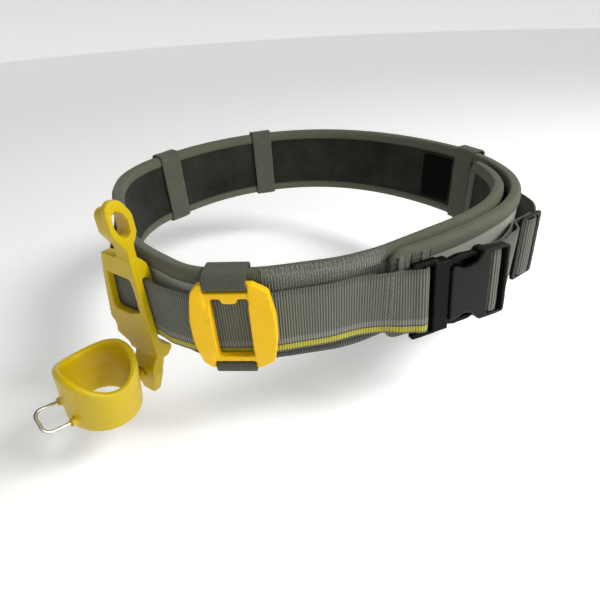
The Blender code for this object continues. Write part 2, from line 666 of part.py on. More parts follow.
def hammer_ring():
    yellow = material("lemon_plastic", (0.80, 0.62, 0.06), 0.35)
    ring = mesh_object("hammer_ring", ring_mesh(), yellow)
    boss_end = -RING_OUT + RING_FOOT_RADIUS - 4.0
    joins = [cylinder(BOSS_RADIUS, (0.0, boss_end, 0.0), (0.0, -TAIL_FACE - GAP, 0.0)),
             cylinder(STUD_RADIUS, (0.0, boss_end, 0.0), (0.0, -0.5, 0.0), 20)]
    root, out, across = wire_axes()
    cuts = []
    for side in (-1, 1):
        seat = root + across * side * WIRE_HALF_WIDTH
        joins.append(cylinder(LUG_RADIUS, seat - out * 4.6, seat + out * LUG_REACH, 16))
        cuts.append(cylinder(WIRE_RADIUS + 0.3, seat - out * 2.0, seat + out * (LUG_REACH + 4.0), 12))
    boolean(ring, joins, "UNION")
    return boolean(ring, cuts, "DIFFERENCE")


def wire_loop():
    """Steel wire bent to a U, with both legs in the ring's lugs."""
    start, end = -1.6, WIRE_LENGTH
    half, corner = WIRE_HALF_WIDTH, WIRE_CORNER
    turns = 5
    points = [(start, -half), ((start + end) / 2, -half)]
    for side in (-1, 1):
        for k in range(turns + 1):
            turn = math.radians(90.0 * (k if side < 0 else turns - k) / turns)
            reach = end - corner + corner * math.sin(turn)
            points.append((reach, side * (half - corner + corner * math.cos(turn))))
    points += [((start + end) / 2, half), (start, half)]
    root, out, across = wire_axes()
    normal = out.cross(across).normalized()
    rings = []
    for i, (reach, width) in enumerate(points):
        before = Vector(points[max(i - 1, 0)])
        after = Vector(points[min(i + 1, len(points) - 1)])
        along = (after - before).normalized()
        middle = root + out * reach + across * width
        side = out * -along.y + across * along.x
        rings.append([middle + WIRE_RADIUS * (side * math.cos(a) + normal * math.sin(a))
                      for a in (2 * math.pi * k / 10 for k in range(10))])
    return mesh_object("wire_loop", loft(rings), material("steel_wire", (0.6, 0.6, 0.58), 0.25, 1.0))


def swinging_ring():
    """Ring and wire under an empty on the pivot, swung as it hangs."""
    pivot = bpy.data.objects.new("ring_pivot", None)
    bpy.context.scene.collection.objects.link(pivot)
    base = Matrix.Translation((HOLDER_AT[0] * MM, HOLDER_AT[1] * MM, 0.0)) @ Matrix.Rotation(
        math.radians(HOLDER_YAW), 4, "Z")
    swing = Matrix.Rotation(math.radians(RING_SWING), 4, "Y")
    pivot.matrix_world = base @ Matrix.Translation((PIVOT_T * MM, 0.0, PIVOT_Z * MM)) @ swing
    for thing in (hammer_ring(), wire_loop()):
        thing.parent = pivot
    bpy.context.view_layer.update()


def buckle_male():
    """Base with a webbing bar on two rails, a guide tongue and two sprung arms."""
    black = material("black_plastic", (0.02, 0.02, 0.02), 0.35)
    male = mesh_object("buckle_male", box(-34.0, -21.0, -5.0, 5.0, -27.4, 27.4), black)
    joins = [cylinder(1.7, (-40.2, 0.0, -27.5), (-40.2, 0.0, 27.5), 16),
             box(-22.0, 8.0, -2.2, 2.2, -5.0, 5.0)]
    for side in (-1, 1):
        low, high = sorted((side * 26.1, side * 29.5))
        joins.append(box(-50.0, -30.0, -3.0, 3.0, low, high))
        arm = [(x, side * z) for x, z in rounded_outline(
            ((-22.0, 18.5, 0.0), (-22.0, 25.5, 0.0), (-13.0, 27.6, 5.0), (0.5, 27.0, 5.0), (7.0, 24.6, 1.0),
             (7.4, 21.5, 1.2), (-1.0, 23.4, 4.0), (-12.0, 22.6, 5.0)))]
        joins.append(extrude_profile(arm, -2.4, 2.4, "y"))
    return place(boolean(male, joins, "UNION"), BUCKLE_AT, BUCKLE_YAW, BUCKLE_MID_Z, BUCKLE_ROLL)


def buckle_female():
    """Sleeve with scooped sides that show the arms, and two bars that the webbing is laced through."""
    black = material("black_plastic", (0.02, 0.02, 0.02), 0.35)
    half = ((-20.6, 21.5, 1.5), (-15.0, 20.5, 3.0), (-7.5, 17.8, 4.0), (0.5, 20.5, 4.0), (6.5, 27.8, 2.0),
            (14.0, 28.0, 2.0), (30.2, 27.6, 3.0))
    outline = rounded_outline([(x, -z, r) for x, z, r in half] + [(x, z, r) for x, z, r in reversed(half)])
    female = mesh_object("buckle_female", extrude_profile(outline, -6.8, 6.0, "y"), black)
    cuts = [box(-30.0, 9.8, -3.2, 3.2, -25.6, 25.6),
            box(15.5, 24.5, -10.0, -2.8, -25.5, 25.5),
            box(12.5, 40.0, 1.6, 10.0, -40.0, 40.0)]
    for x0, x1 in ((13.3, 17.9), (22.1, 27.3)):
        cuts.append(box(x0, x1, -10.0, 10.0, -25.5, 25.5))
    return place(boolean(female, cuts, "DIFFERENCE"), BUCKLE_AT, BUCKLE_YAW, BUCKLE_MID_Z, BUCKLE_ROLL)


def tri_glide():
    """Slide with three bars: the strap passes behind the outer two and over the middle one."""
    black = material("black_plastic", (0.02, 0.02, 0.02), 0.35)
    outline = rounded_outline(((-14.5, -28.3, 3.0), (14.5, -28.3, 3.0),
                               (14.5, 28.3, 3.0), (-14.5, 28.3, 3.0)))
    slide = mesh_object("tri_glide", extrude_profile(outline, -4.0, -1.2, "y"), black)
    cuts = [box(min(side * 3.0, side * 9.8), max(side * 3.0, side * 9.8), -10.0, 10.0, -25.5, 25.5)
            for side in (-1, 1)]
    cuts.append(box(-9.0, 9.0, -10.0, -3.4, -25.5, 25.5))
    return place(boolean(slide, cuts, "DIFFERENCE"), SLIDE_AT, SLIDE_YAW, SLIDE_MID_Z, SLIDE_ROLL)


def build():
    clear_scene()
    padded_belt()
    closure_patch()
    waist_strap()
    strap_tail()
    for name, bearing in KEEPERS:
        keeper(name, bearing)
    front_keeper()
    accessory_frame()
    holder_plate()
    swinging_ring()
    buckle_male()
    buckle_female()
    tri_glide()


build()
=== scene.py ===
"""Looks of a hammer holder belt: padded belt, ribbed waist strap, buckle, keepers, yellow frame,
hammer holder and its ring. Laid out as an add-on and run as a script.

Tables and points are in millimetres in the belt's own axes, and meshes are made in metres.
Bearings go clockwise seen from above: 0 is the right side, 90 the front, 180 the left side.
"""
import math

import bmesh
import bpy
import numpy as np
from bpy.props import FloatProperty, FloatVectorProperty, PointerProperty
from mathutils import Matrix, Vector


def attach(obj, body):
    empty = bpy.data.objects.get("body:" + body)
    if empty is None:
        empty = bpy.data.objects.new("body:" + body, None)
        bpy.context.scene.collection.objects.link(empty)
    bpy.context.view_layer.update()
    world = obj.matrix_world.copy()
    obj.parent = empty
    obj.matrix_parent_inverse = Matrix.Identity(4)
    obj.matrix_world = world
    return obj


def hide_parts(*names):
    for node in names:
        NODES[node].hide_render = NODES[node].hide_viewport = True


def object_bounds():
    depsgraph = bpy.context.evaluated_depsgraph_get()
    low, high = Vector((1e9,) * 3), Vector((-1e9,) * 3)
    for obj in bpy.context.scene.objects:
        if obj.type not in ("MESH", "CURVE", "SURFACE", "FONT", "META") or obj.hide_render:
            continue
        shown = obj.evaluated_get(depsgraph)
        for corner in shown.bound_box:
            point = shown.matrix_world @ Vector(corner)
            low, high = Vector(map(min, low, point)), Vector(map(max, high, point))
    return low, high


bl_info = {
    "name": "Hammer holder belt",
    "version": (1, 0, 0),
    "blender": (4, 5, 0),
    "location": "3D View > Sidebar > Tool belt",
    "description": "Builds the cloth, webbing and moulded pieces of a hammer holder belt",
    "category": "Object",
}

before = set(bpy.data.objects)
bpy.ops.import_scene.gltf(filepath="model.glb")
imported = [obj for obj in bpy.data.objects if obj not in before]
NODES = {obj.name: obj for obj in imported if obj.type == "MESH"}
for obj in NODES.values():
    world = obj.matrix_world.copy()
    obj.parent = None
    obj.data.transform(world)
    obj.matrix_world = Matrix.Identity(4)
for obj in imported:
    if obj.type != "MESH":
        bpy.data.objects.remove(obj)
CAD_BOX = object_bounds()

MM = 0.001
BELT_BODY = "belt"
RING_BODY = "hammer_ring"
# edges that turn by more than this aren't shaded smooth
SHARP_DEGREES = 50.0

# Padded belt
BELT_HEIGHT = 75.0
BELT_END_RADIUS = 9.0
GAP = 0.35
BELT_ROWS = np.array((
    # bearing, radius of the middle of the pad, thickness of the pad
    (-5.0, 171.5, 8.0), (5.0, 175.5, 9.4), (15.0, 177.0, 9.8), (25.0, 173.5, 10.0),
    (35.0, 168.0, 10.0), (45.0, 162.5, 9.8), (57.0, 158.5, 9.2), (66.0, 159.6, 8.4),
    (74.0, 163.8, 8.4), (83.0, 168.8, 10.0), (93.0, 173.0, 10.0), (101.0, 179.0, 10.0),
    (108.0, 183.8, 10.0), (116.0, 187.0, 10.0), (125.0, 182.5, 10.0), (138.0, 177.5, 10.0),
    (152.0, 172.5, 10.0), (166.0, 171.5, 10.0), (180.0, 179.5, 10.0), (192.0, 185.5, 10.0),
    (202.0, 185.5, 10.0), (216.0, 179.0, 10.0), (236.0, 175.0, 10.0), (258.0, 172.5, 10.0),
    (280.0, 170.5, 10.0), (300.0, 168.8, 10.0), (319.0, 170.0, 10.0), (332.0, 174.5, 10.0),
    (345.0, 182.0, 10.0), (358.0, 187.5, 10.0), (371.0, 190.8, 10.0), (382.0, 189.0, 10.0),
    (392.0, 183.5, 10.0), (402.0, 177.0, 10.0), (412.0, 173.0, 9.8), (423.0, 171.6, 8.4),
    (432.5, 172.2, 6.6),
))
BELT_FIRST, BELT_LAST = float(BELT_ROWS[0, 0]), float(BELT_ROWS[-1, 0])
# degrees of each end that are rounded off, and that are bound with tape
BELT_END_DEGREES = 4.6
END_TAPE_DEGREES = 3.6
# heights on the pad, from its middle
PANEL_CROWN = 30.0
NAP_LOW = 15.0
# bearings between which the outer face is napped, and the height above which its threads roll in
NAP_FROM, NAP_TO = 73.0, 101.0
PILE_ROLLED_IN = 35.0
PILE_ROWS = (
    # height, degrees from thread to thread, sideways lean
    (36.2, 0.31, 0.30), (33.6, 0.31, 0.26), (30.4, 0.62, 0.08), (27.2, 0.62, 0.0), (24.0, 0.62, 0.0),
)
SEAM_RADIUS = 177.0
SEAM_END_DEGREES = 5.0
END_TACKS = (
    # degrees from the belt's outer end, width
    (3.2, 10.0), (9.0, 7.0),
)
# bar tacks: threads in a column, their pitch, and the same for the dark threads that paint the shade beside
# them
TACK_COUNT, TACK_PITCH = 26, 0.95
TACK_SHADE_COUNT, TACK_SHADE_PITCH = 8, 3.2

# Waist strap
STRAP_WIDTH = 50.0
STRAP_THICK = 2.0
STRAP_MID_Z = -3.5
RIB_DEPTH = 0.30
STRAP_LIFT = np.array((
    # bearing, extra distance off the pad
    (78.0, 0.9), (90.0, 0.3), (112.0, 0.1), (124.0, 6.4), (132.0, 10.8), (138.0, 13.2),
    (145.0, 9.5), (152.0, 5.0), (160.0, 1.2), (168.0, 0.1), (358.0, 0.1),
))
STRAP_STEP_DEG = 7.0
STRAP_RISE = np.array((
    # bearing, extra height
    (66.0, 3.6), (101.0, 0.0),
))
# bearings of the two columns of tacks, and the radius between the strap's two layers there
STRAP_TACKS = (72.6, 73.7)
STRAP_LAYERS_MEET = 176.0
STRAP_TACK_COUNT, STRAP_TACK_PITCH = 25, 1.9
STRIPED_FROM, STRIPED_TO = 56.5, 345.5
# lines woven into the strap, as heights from its middle in metres
PALE_LINE = (-0.0180, -0.0135)
YELLOW_LINE = (-0.0236, -0.0190)
DARK_LINE = (-0.0190, -0.0181)
DARK_EDGE = (0.0215, 0.0300)
PALE_COLOUR = (0.34, 0.33, 0.31)

# Keepers and hook patch
KEEPER_THICK = 1.6
KEEPER_WIDTH = 25.0
KEEPER_CORNER = 2.6
KEEPER_RADIUS = 180.0
KEEPERS = (
    # CAD node, bearing
    ("keeper_left_back", 212.5),
    ("keeper_centre_back", 254.0),
    ("keeper_right_back", 345.5),
)
PATCH_FROM, PATCH_TO = 328.0, 340.0
PATCH_HEIGHT = 48.0
PATCH_LENGTH = 34.0
PATCH_CORNER = 2.5
FRONT_KEEPER_WIDTH, FRONT_KEEPER_MIDDLE = 28.4, -2.6

# Moulded pieces, placed on plan
FRAME_AT, FRAME_YAW = (-54.4, -183.4), -5.0
FRAME_WINDOW_Z = (-24.8, 23.0)
FRAME_BAR, FRAME_SLOT, FRAME_THICK = 4.6, 3.8, 4.5
HOLDER_AT, HOLDER_YAW = (-119.5, -157.5), -36.3
# plan place, height of the middle, yaw and roll
BUCKLE = ((113.2, -154.5), 0.6, 21.8, -6.6)
SLIDE = ((181.9, -89.6), -4.4, 35.0, -3.0)

# Stage, in metres
FLOOR_GLOW = 0.32
# glow at the foot of the wall and a metre up
WALL_GLOW = (0.50, 0.12)
ROOM_LIGHT = 0.08
# power of the front light as a share of the main light's
FRONT_LIGHT = 0.12
CAMERA_AT = (-0.010, -0.432, 0.18372)
CAMERA_DOWN_DEG, CAMERA_ROLL_DEG, CAMERA_LENS = 34.033, -3.414, 27.36
BOWL_TURNS = 64
BOWL_ROWS = (
    # radius, height above the floor
    (0.0001, 0.0), (1.0, 0.0), (2.2, 0.0), (2.7, 0.07), (3.05, 0.3), (3.25, 0.7), (3.3, 1.3), (3.3, 3.2),
)
FLAT_ROWS = 3


class BeltLooks(bpy.types.PropertyGroup):
    binding_width: FloatProperty(
        name="Binding width", description="Width of the edge tape on each face of the belt",
        default=0.0100, min=0.004, max=0.03, subtype="DISTANCE", unit="LENGTH")
    rib_pitch: FloatProperty(
        name="Rib pitch", description="Distance from one cross rib of the strap to the next",
        default=0.0019, min=0.0015, max=0.006, subtype="DISTANCE", unit="LENGTH")
    stitch_pitch: FloatProperty(
        name="Stitch pitch", description="Distance from one stitch to the next",
        default=0.0040, min=0.002, max=0.01, subtype="DISTANCE", unit="LENGTH")
    binding_colour: FloatVectorProperty(
        name="Binding", description="Colour of the edge tape and smooth cover",
        default=(0.106, 0.110, 0.075), min=0.0, max=1.0, subtype="COLOR")
    mesh_colour: FloatVectorProperty(
        name="Spacer mesh", description="Colour of the mesh on the inner face",
        default=(0.010, 0.0115, 0.008), min=0.0, max=1.0, subtype="COLOR")
    strap_colour: FloatVectorProperty(
        name="Strap", description="Colour of the ribbed waist strap",
        default=(0.176, 0.185, 0.150), min=0.0, max=1.0, subtype="COLOR")
    stripe_colour: FloatVectorProperty(
        name="Stripe", description="Colour of the line woven along the strap's lower edge",
        default=(0.52, 0.48, 0.055), min=0.0, max=1.0, subtype="COLOR")
    keeper_colour: FloatVectorProperty(
        name="Keepers", description="Colour of the keepers' webbing",
        default=(0.092, 0.096, 0.070), min=0.0, max=1.0, subtype="COLOR")


class MouldingLooks(bpy.types.PropertyGroup):
    edge_round: FloatProperty(
        name="Grain of moulding", description="Size of the cells used to round the moulded edges",
        default=0.0006, min=0.0003, max=0.002, subtype="DISTANCE", unit="LENGTH")
    holder_colour: FloatVectorProperty(
        name="Hammer holder", description="Colour of the hammer holder and its ring",
        default=(0.62, 0.445, 0.003), min=0.0, max=1.0, subtype="COLOR")
    frame_colour: FloatVectorProperty(
        name="Accessory frame", description="Colour of the frame on the front keeper",
        default=(0.94, 0.56, 0.002), min=0.0, max=1.0, subtype="COLOR")
    buckle_colour: FloatVectorProperty(
        name="Buckle", description="Colour of the buckle and the slide",
        default=(0.006, 0.007, 0.0055), min=0.0, max=1.0, subtype="COLOR")


class StageLooks(bpy.types.PropertyGroup):
    floor_drop: FloatProperty(
        name="Floor below belt", description="Distance from the lowest point of the belt to the floor",
        default=0.030, min=0.0, max=0.5, subtype="DISTANCE", unit="LENGTH")
    light_power: FloatProperty(
        name="Main light", description="Power of the large soft light in watts",
        default=17.0, min=0.0, max=100.0, unit="POWER")


# Plan geometry shared by the cloth pieces

def cubic(u, first, last, slope_first, slope_last):
    """Value at share u of a stretch, from its ends' values and slopes."""
    return ((2 * u ** 3 - 3 * u ** 2 + 1) * first + (u ** 3 - 2 * u ** 2 + u) * slope_first
            + (3 * u ** 2 - 2 * u ** 3) * last + (u ** 3 - u ** 2) * slope_last)


def smooth_rows(rows, at):
    """Value of each column at a bearing, by a cubic through the table's rows."""
    keys, values = rows[:, 0], rows[:, 1:]
    slopes = np.gradient(values, keys, axis=0)
    at = min(max(at, keys[0]), keys[-1])
    low = int(min(np.searchsorted(keys, at, side="right") - 1, len(keys) - 2))
    span = keys[low + 1] - keys[low]
    u = (at - keys[low]) / span
    return cubic(u, values[low], values[low + 1], span * slopes[low], span * slopes[low + 1])


def polar(bearing, radius):
    """Plan point at a bearing and a radius."""
    angle = math.radians(bearing)
    return np.array((radius * math.cos(angle), -radius * math.sin(angle)))


def belt_middle(bearing):
    """Middle point and thickness of the pad at a bearing."""
    radius, thick = smooth_rows(BELT_ROWS, bearing)
    return polar(bearing, radius), float(thick)


def belt_station(bearing):
    """Middle point, outward normal and thickness of the pad at a bearing."""
    before, _ = belt_middle(bearing - 0.5)
    after, _ = belt_middle(bearing + 0.5)
    middle, thick = belt_middle(bearing)
    along = (after - before) / np.linalg.norm(after - before)
    outward = np.array((along[1], -along[0]))
    if outward @ middle < 0:
        outward = -outward
    return middle, outward, thick


def belt_place(bearing):
    """Middle point, direction along, outward normal and thickness of the pad at a bearing."""
    middle, outward, thick = belt_station(bearing)
    ahead, _, _ = belt_station(bearing + 0.2)
    along = (ahead - middle) / np.linalg.norm(ahead - middle)
    return middle, along, outward, thick


def on_plan(points, at, yaw):
    """Plan points of a piece in its own axes, turned and moved to its place."""
    c, s = math.cos(math.radians(yaw)), math.sin(math.radians(yaw))
    return [np.array((at[0] + c * x - s * y, at[1] + s * x + c * y)) for x, y in points]


def strap_node(bearing):
    """Middle of the webbing on the pad and its direction across, at a bearing."""
    middle, outward, thick = belt_station(bearing)
    lift = float(np.interp(bearing, STRAP_LIFT[:, 0], STRAP_LIFT[:, 1]))
    rise = float(np.interp(bearing, STRAP_RISE[:, 0], STRAP_RISE[:, 1]))
    plan = middle + outward * (thick / 2 + GAP + STRAP_THICK / 2 + lift)
    return np.array((*plan, STRAP_MID_Z + rise, 0.0, 0.0, 1.0))


def plan_nodes(points, mid_z=STRAP_MID_Z):
    """Upright webbing through plan points."""
    return [np.array((x, y, mid_z, 0.0, 0.0, 1.0)) for x, y in points]


def laced_nodes(points, at, mid_z, yaw, roll):
    """Webbing through points given in the axes of the buckle or slide that it's laced on."""
    turn = Matrix.Rotation(math.radians(yaw), 3, "Z") @ Matrix.Rotation(math.radians(roll), 3, "X")
    start = Vector((*at, mid_z))
    across = turn @ Vector((0.0, 0.0, 1.0))
    return [np.array((*(start + turn @ Vector((x, y, 0.0))), *across)) for x, y in points]


def smooth_path(points, pieces):
    """Catmull-Rom curve through plan points, each stretch cut into a few pieces."""
    points = [np.array(p, dtype=float) for p in points]
    padded = [2 * points[0] - points[1]] + points + [2 * points[-1] - points[-2]]
    path = []
    for i in range(1, len(padded) - 2):
        p0, p1, p2, p3 = padded[i - 1:i + 3]
        chord = np.linalg.norm(p2 - p1)
        m1 = (p2 - p0) / (np.linalg.norm(p2 - p1) + np.linalg.norm(p1 - p0)) * chord
        m2 = (p3 - p1) / (np.linalg.norm(p3 - p2) + np.linalg.norm(p2 - p1)) * chord
        path += [cubic(k / pieces, p1, p2, m1, m2) for k in range(pieces)]
    path.append(points[-1])
    return np.array(path)


def distances(points):
    """Distance of each point from the first, measured along the points."""
    steps = np.linalg.norm(np.diff(points, axis=0), axis=1)
    return np.concatenate(([0.0], np.cumsum(steps)))


def even_path(path, step):
    """The same path with points at even distances, and the distance of each."""
    reach = distances(path[:, :3])
    count = max(2, int(round(reach[-1] / step)) + 1)
    at = np.linspace(0.0, reach[-1], count)
    return np.stack([np.interp(at, reach, path[:, k]) for k in range(path.shape[1])], axis=1), at


def path_sides(path):
    """Unit normal at each point of a flat path."""
    along = np.gradient(path, axis=0)
    along /= np.linalg.norm(along, axis=1)[:, None]
    return np.stack((-along[:, 1], along[:, 0]), axis=1)


# Meshes

def add_object(name, data):
    """A new object in the scene."""
    made = bpy.data.objects.new(name, data)
    bpy.context.scene.collection.objects.link(made)
    return made


def ring_faces(rings, around, first=0):
    """Quads between rings of corners that are numbered ring after ring."""
    faces = []
    for low in range(first, first + (rings - 1) * around, around):
        for j in range(around):
            k = (j + 1) % around
            faces.append((low + j, low + k, low + around + k, low + around + j))
    return faces


def skin(name, rings, marks, zones=None, caps=True):
    """Mesh from rings of points (mm). marks gives each point's (along, across) in metres for the
    weave, and zones gives the material number of each face by ring and by place in the ring."""
    rings = np.asarray(rings, dtype=float)
    count, around = rings.shape[:2]
    corners = rings.reshape(-1, 3) * MM
    faces = ring_faces(count, around)
    numbers = [zones(i, j) if zones else 0 for i in range(count - 1) for j in range(around)]
    if caps:
        faces.append(tuple(range(around)))
        faces.append(tuple((count - 1) * around + j for j in range(around)))
        numbers += [zones(0, 0) if zones else 0, zones(count - 1, 0) if zones else 0]
    mesh = bpy.data.meshes.new(name)
    mesh.from_pydata(corners.tolist(), [], faces)
    mesh.polygons.foreach_set("material_index", numbers)
    strip = mesh.attributes.new("strip", "FLOAT_VECTOR", "POINT")
    flat = np.zeros((count * around, 3))
    marks = np.asarray(marks, dtype=float)
    flat[:, :marks.shape[-1]] = marks.reshape(count * around, -1)
    strip.data.foreach_set("vector", flat.ravel())
    made = add_object(name, mesh)
    tidy(made)
    return made


def tidy(made):
    """Turn the faces outward and shade them smooth, with the sharp edges kept."""
    bm = bmesh.new()
    bm.from_mesh(made.data)
    bmesh.ops.recalc_face_normals(bm, faces=bm.faces)
    bm.to_mesh(made.data)
    bm.free()
    made.data.shade_smooth()
    made.data.set_sharp_from_angle(angle=math.radians(SHARP_DEGREES))


def dress(made, body, slot, *materials):
    """Give a piece its finishes and its body. The slot is not used."""
    for one in materials:
        made.data.materials.append(one)
    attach(made, body)
    return made


def moulded_copy(name, node, cell, rounds):
    """A copy of a CAD piece with its edges rounded as a moulding's are."""
    mesh = NODES[node].data.copy()
    mesh.materials.clear()
    made = add_object(name, mesh)
    grain = made.modifiers.new("grain", "REMESH")
    grain.mode = "VOXEL"
    grain.voxel_size = cell
    soften = made.modifiers.new("soften", "SMOOTH")
    soften.factor = 0.5
    soften.iterations = rounds
    bpy.context.view_layer.update()
    shaped = bpy.data.meshes.new_from_object(
        made.evaluated_get(bpy.context.evaluated_depsgraph_get()))
    made.modifiers.clear()
    made.data = shaped
    shaped.shade_smooth()
    return made


def stitches(name, seats, length, radius):
    """Short raised threads. Each seat is (point, direction, outward) in millimetres."""
    sides = 5
    # share of the length, share of the radius
    profile = ((-0.5, 0.25), (-0.3, 0.9), (0.3, 0.9), (0.5, 0.25))
    corners, faces = [], []
    for point, direction, outward in seats:
        point, direction, outward = (np.asarray(v, dtype=float) for v in (point, direction, outward))
        direction = direction / np.linalg.norm(direction)
        side = np.cross(direction, outward)
        first = len(corners)
        for along, girth in profile:
            for k in range(sides):
                angle = 2 * math.pi * k / sides
                corners.append(point + direction * length * along
                               + radius * girth * (side * math.cos(angle) + outward * math.sin(angle)))
        faces += ring_faces(len(profile), sides, first)
        last = first + (len(profile) - 1) * sides
        faces.append(tuple(first + k for k in range(sides)))
        faces.append(tuple(last + k for k in range(sides)))
    mesh = bpy.data.meshes.new(name)
    mesh.from_pydata((np.array(corners) * MM).tolist(), [], faces)
    made = add_object(name, mesh)
    tidy(made)
    return made


# Finishes

class Finish:
    """A Principled material with short calls for the nodes that the finishes share."""

    def __init__(self, name, roughness, sheen=0.0):
        self.material = bpy.data.materials.new(name)
        self.material.use_nodes = True
        self.nodes = self.material.node_tree.nodes
        self.links = self.material.node_tree.links
        self.shader = self.nodes["Principled BSDF"]
        self.set({"Roughness": roughness, "Sheen Weight": sheen, "Sheen Roughness": 0.5,
                  "Specular IOR Level": 0.15})

    def set(self, values):
        """Constant values on the shader's own sockets."""
        for socket, value in values.items():
            self.shader.inputs[socket].default_value = value

    def node(self, kind, **values):
        """A new node with values on its sockets, or else on its settings."""
        made = self.nodes.new(kind)
        for key, value in values.items():
            if key in made.inputs:
                made.inputs[key].default_value = value
            else:
                setattr(made, key, value)
        return made

    def link(self, source, target):
        self.links.new(source, target)

    def strip(self):
        """Where a point lies on a strip of cloth: vector, distance along and distance across."""
        marks = self.node("ShaderNodeAttribute", attribute_name="strip")
        split = self.node("ShaderNodeSeparateXYZ")
        self.link(marks.outputs["Vector"], split.inputs[0])
        self.striped = split.outputs["Z"]
        return marks.outputs["Vector"], split.outputs["X"], split.outputs["Y"]

    def place(self):
        """Where a point lies in the piece's own axes."""
        return self.node("ShaderNodeTexCoord").outputs["Object"]

    def math(self, operation, first, second=None, third=None, clamp=False):
        made = self.node("ShaderNodeMath", operation=operation, use_clamp=clamp)
        for socket, value in zip(made.inputs, (first, second, third)):
            if value is None:
                continue
            if isinstance(value, (int, float)):
                socket.default_value = value
            else:
                self.link(value, socket)
        return made.outputs[0]

    def wave(self, value, pitch):
        """0 to 1 and back once for each pitch."""
        turned = self.math("MULTIPLY", value, 2 * math.pi / pitch)
        return self.math("MULTIPLY_ADD", self.math("SINE", turned), 0.5, 0.5)

    def ramp(self, value, low, high, first, last):
        """From first at low to last at high, and level beyond."""
        made = self.node("ShaderNodeMapRange")
        self.link(value, made.inputs["Value"])
        for socket, number in (("From Min", low), ("From Max", high), ("To Min", first), ("To Max", last)):
            made.inputs[socket].default_value = number
        return made.outputs["Result"]

    def band(self, value, low, high, soft):
        """1 between low and high, 0 outside, with soft edges."""
        rise = self.ramp(value, low - soft, low + soft, 0.0, 1.0)
        fall = self.ramp(value, high - soft, high + soft, 1.0, 0.0)
        return self.math("MULTIPLY", rise, fall)

    def noise(self, vector, scale, detail=3.0):
        made = self.node("ShaderNodeTexNoise", Scale=scale, Detail=detail)
        self.link(vector, made.inputs["Vector"])
        return made.outputs["Fac"]

    def mix(self, share, first, second):
        """From first to second by share. A colour is a socket or three numbers."""
        made = self.node("ShaderNodeMix", data_type="RGBA")
        sockets = (made.inputs["Factor"], made.inputs[6], made.inputs[7])
        for socket, value in zip(sockets, (share, first, second)):
            if isinstance(value, bpy.types.NodeSocket):
                self.link(value, socket)
            else:
                socket.default_value = (*value[:3], 1.0)
        return made.outputs[2]

    def part(self, value, most, first, second):
        """As mix, by the value times the most that the second takes over."""
        return self.mix(self.math("MULTIPLY", value, most), first, second)

    def colour(self, source):
        self.link(source, self.shader.inputs["Base Color"])

    def bump(self, height, depth):
        made = self.node("ShaderNodeBump", Strength=1.0, Distance=depth)
        self.link(height, made.inputs["Height"])
        self.link(made.outputs["Normal"], self.shader.inputs["Normal"])


def shade(colour, factor):
    """The colour made darker or lighter."""
    return tuple(min(1.0, c * factor) for c in colour)


def seam_groove_shade(made, across, seam, colour, body):
    """Painted shade: darken the cloth in the groove along the seam, at the same distance above and below the
    belt's middle.
    """
    line = made.band(made.math("ABSOLUTE", across), seam - 0.0005, seam + 0.0007, 0.0003)
    return made.part(line, 0.75, body, shade(colour, 0.22))


def tape_finish(name, colour, seam):
    """Edge tape: fine ribs across its length, with worn, paler patches."""
    made = Finish(name, 0.85, 0.12)
    vector, along, across = made.strip()
    ribs = made.wave(along, 0.0011)
    threads = made.wave(across, 0.00088)
    worn = made.noise(vector, 55.0)
    weave = made.math("MULTIPLY_ADD", threads, 0.35, ribs)
    base = made.part(weave, 0.7, shade(colour, 0.62), shade(colour, 1.18))
    body = made.part(worn, 0.55, base, shade(colour, 1.35))
    # painted shade in the seam's groove
    made.colour(seam_groove_shade(made, across, seam, colour, body))
    made.bump(weave, 0.00025)
    return made.material


def spacer_finish(name, colour):
    """Dark three-dimensional mesh: small diamond holes in slanted rows."""
    made = Finish(name, 0.9, 0.05)
    vector, along, across = made.strip()
    pitch = 0.0042
    rise = made.math("ADD", along, across)
    fall = made.math("SUBTRACT", along, across)
    holes = made.math("MULTIPLY", made.wave(rise, pitch), made.wave(fall, pitch))
    cloud = made.noise(vector, 28.0)
    base = made.mix(holes, shade(colour, 3.0), shade(colour, 0.18))
    worn = made.math("SUBTRACT", made.math("MULTIPLY", cloud, 2.2), 0.65, clamp=True)
    base = made.mix(worn, base, shade(colour, 0.9))
    glints = made.math("GREATER_THAN", made.noise(vector, 520.0, 2.0), 0.66)
    made.colour(made.part(glints, 0.35, base, shade(colour, 7.0)))
    made.bump(made.math("SUBTRACT", 1.0, holes), 0.0006)
    return made.material


def cover_finish(name, colour, seam):
    """Smooth laminated cover with a short nap and soft handling marks."""
    made = Finish(name, 0.8, 0.2)
    vector, _, across = made.strip()
    grain = made.noise(vector, 900.0, 2.0)
    marks = made.noise(vector, 34.0, 4.0)
    base = made.mix(grain, shade(colour, 0.85), shade(colour, 1.2))
    body = made.part(marks, 0.6, base, shade(colour, 1.45))
    # painted shade in the seam's groove
    made.colour(seam_groove_shade(made, across, seam, colour, body))
    made.bump(made.math("MULTIPLY_ADD", marks, 1.5, grain), 0.0002)
    return made.material


def nap_finish(name, colour):
    """Loop fabric on the belt's front: cross ribs under a slanted fuzzy nap, with painted shade on its lower
    half.
    """
    made = Finish(name, 0.92, 0.3)
    vector, along, across = made.strip()
    fuzz = made.noise(vector, 620.0, 3.0)
    wobble = made.math("MULTIPLY_ADD", fuzz, 0.0009, along)
    ribs = made.wave(wobble, 0.0019)
    rows = made.wave(across, 0.0017)
    nap = made.math("MULTIPLY_ADD", rows, 0.35, ribs)
    base = made.part(nap, 0.75, shade(colour, 0.45), shade(colour, 1.35))
    above = made.part(fuzz, 0.35, base, shade(colour, 1.6))
    # painted shade: below the belt's middle the nap is made much darker
    below = made.mix(fuzz, shade(colour, 0.22), shade(colour, 0.5))
    made.colour(made.mix(made.math("LESS_THAN", across, 0.0), above, below))
    made.bump(made.math("MULTIPLY_ADD", fuzz, 0.6, nap), 0.0006)
    return made.material


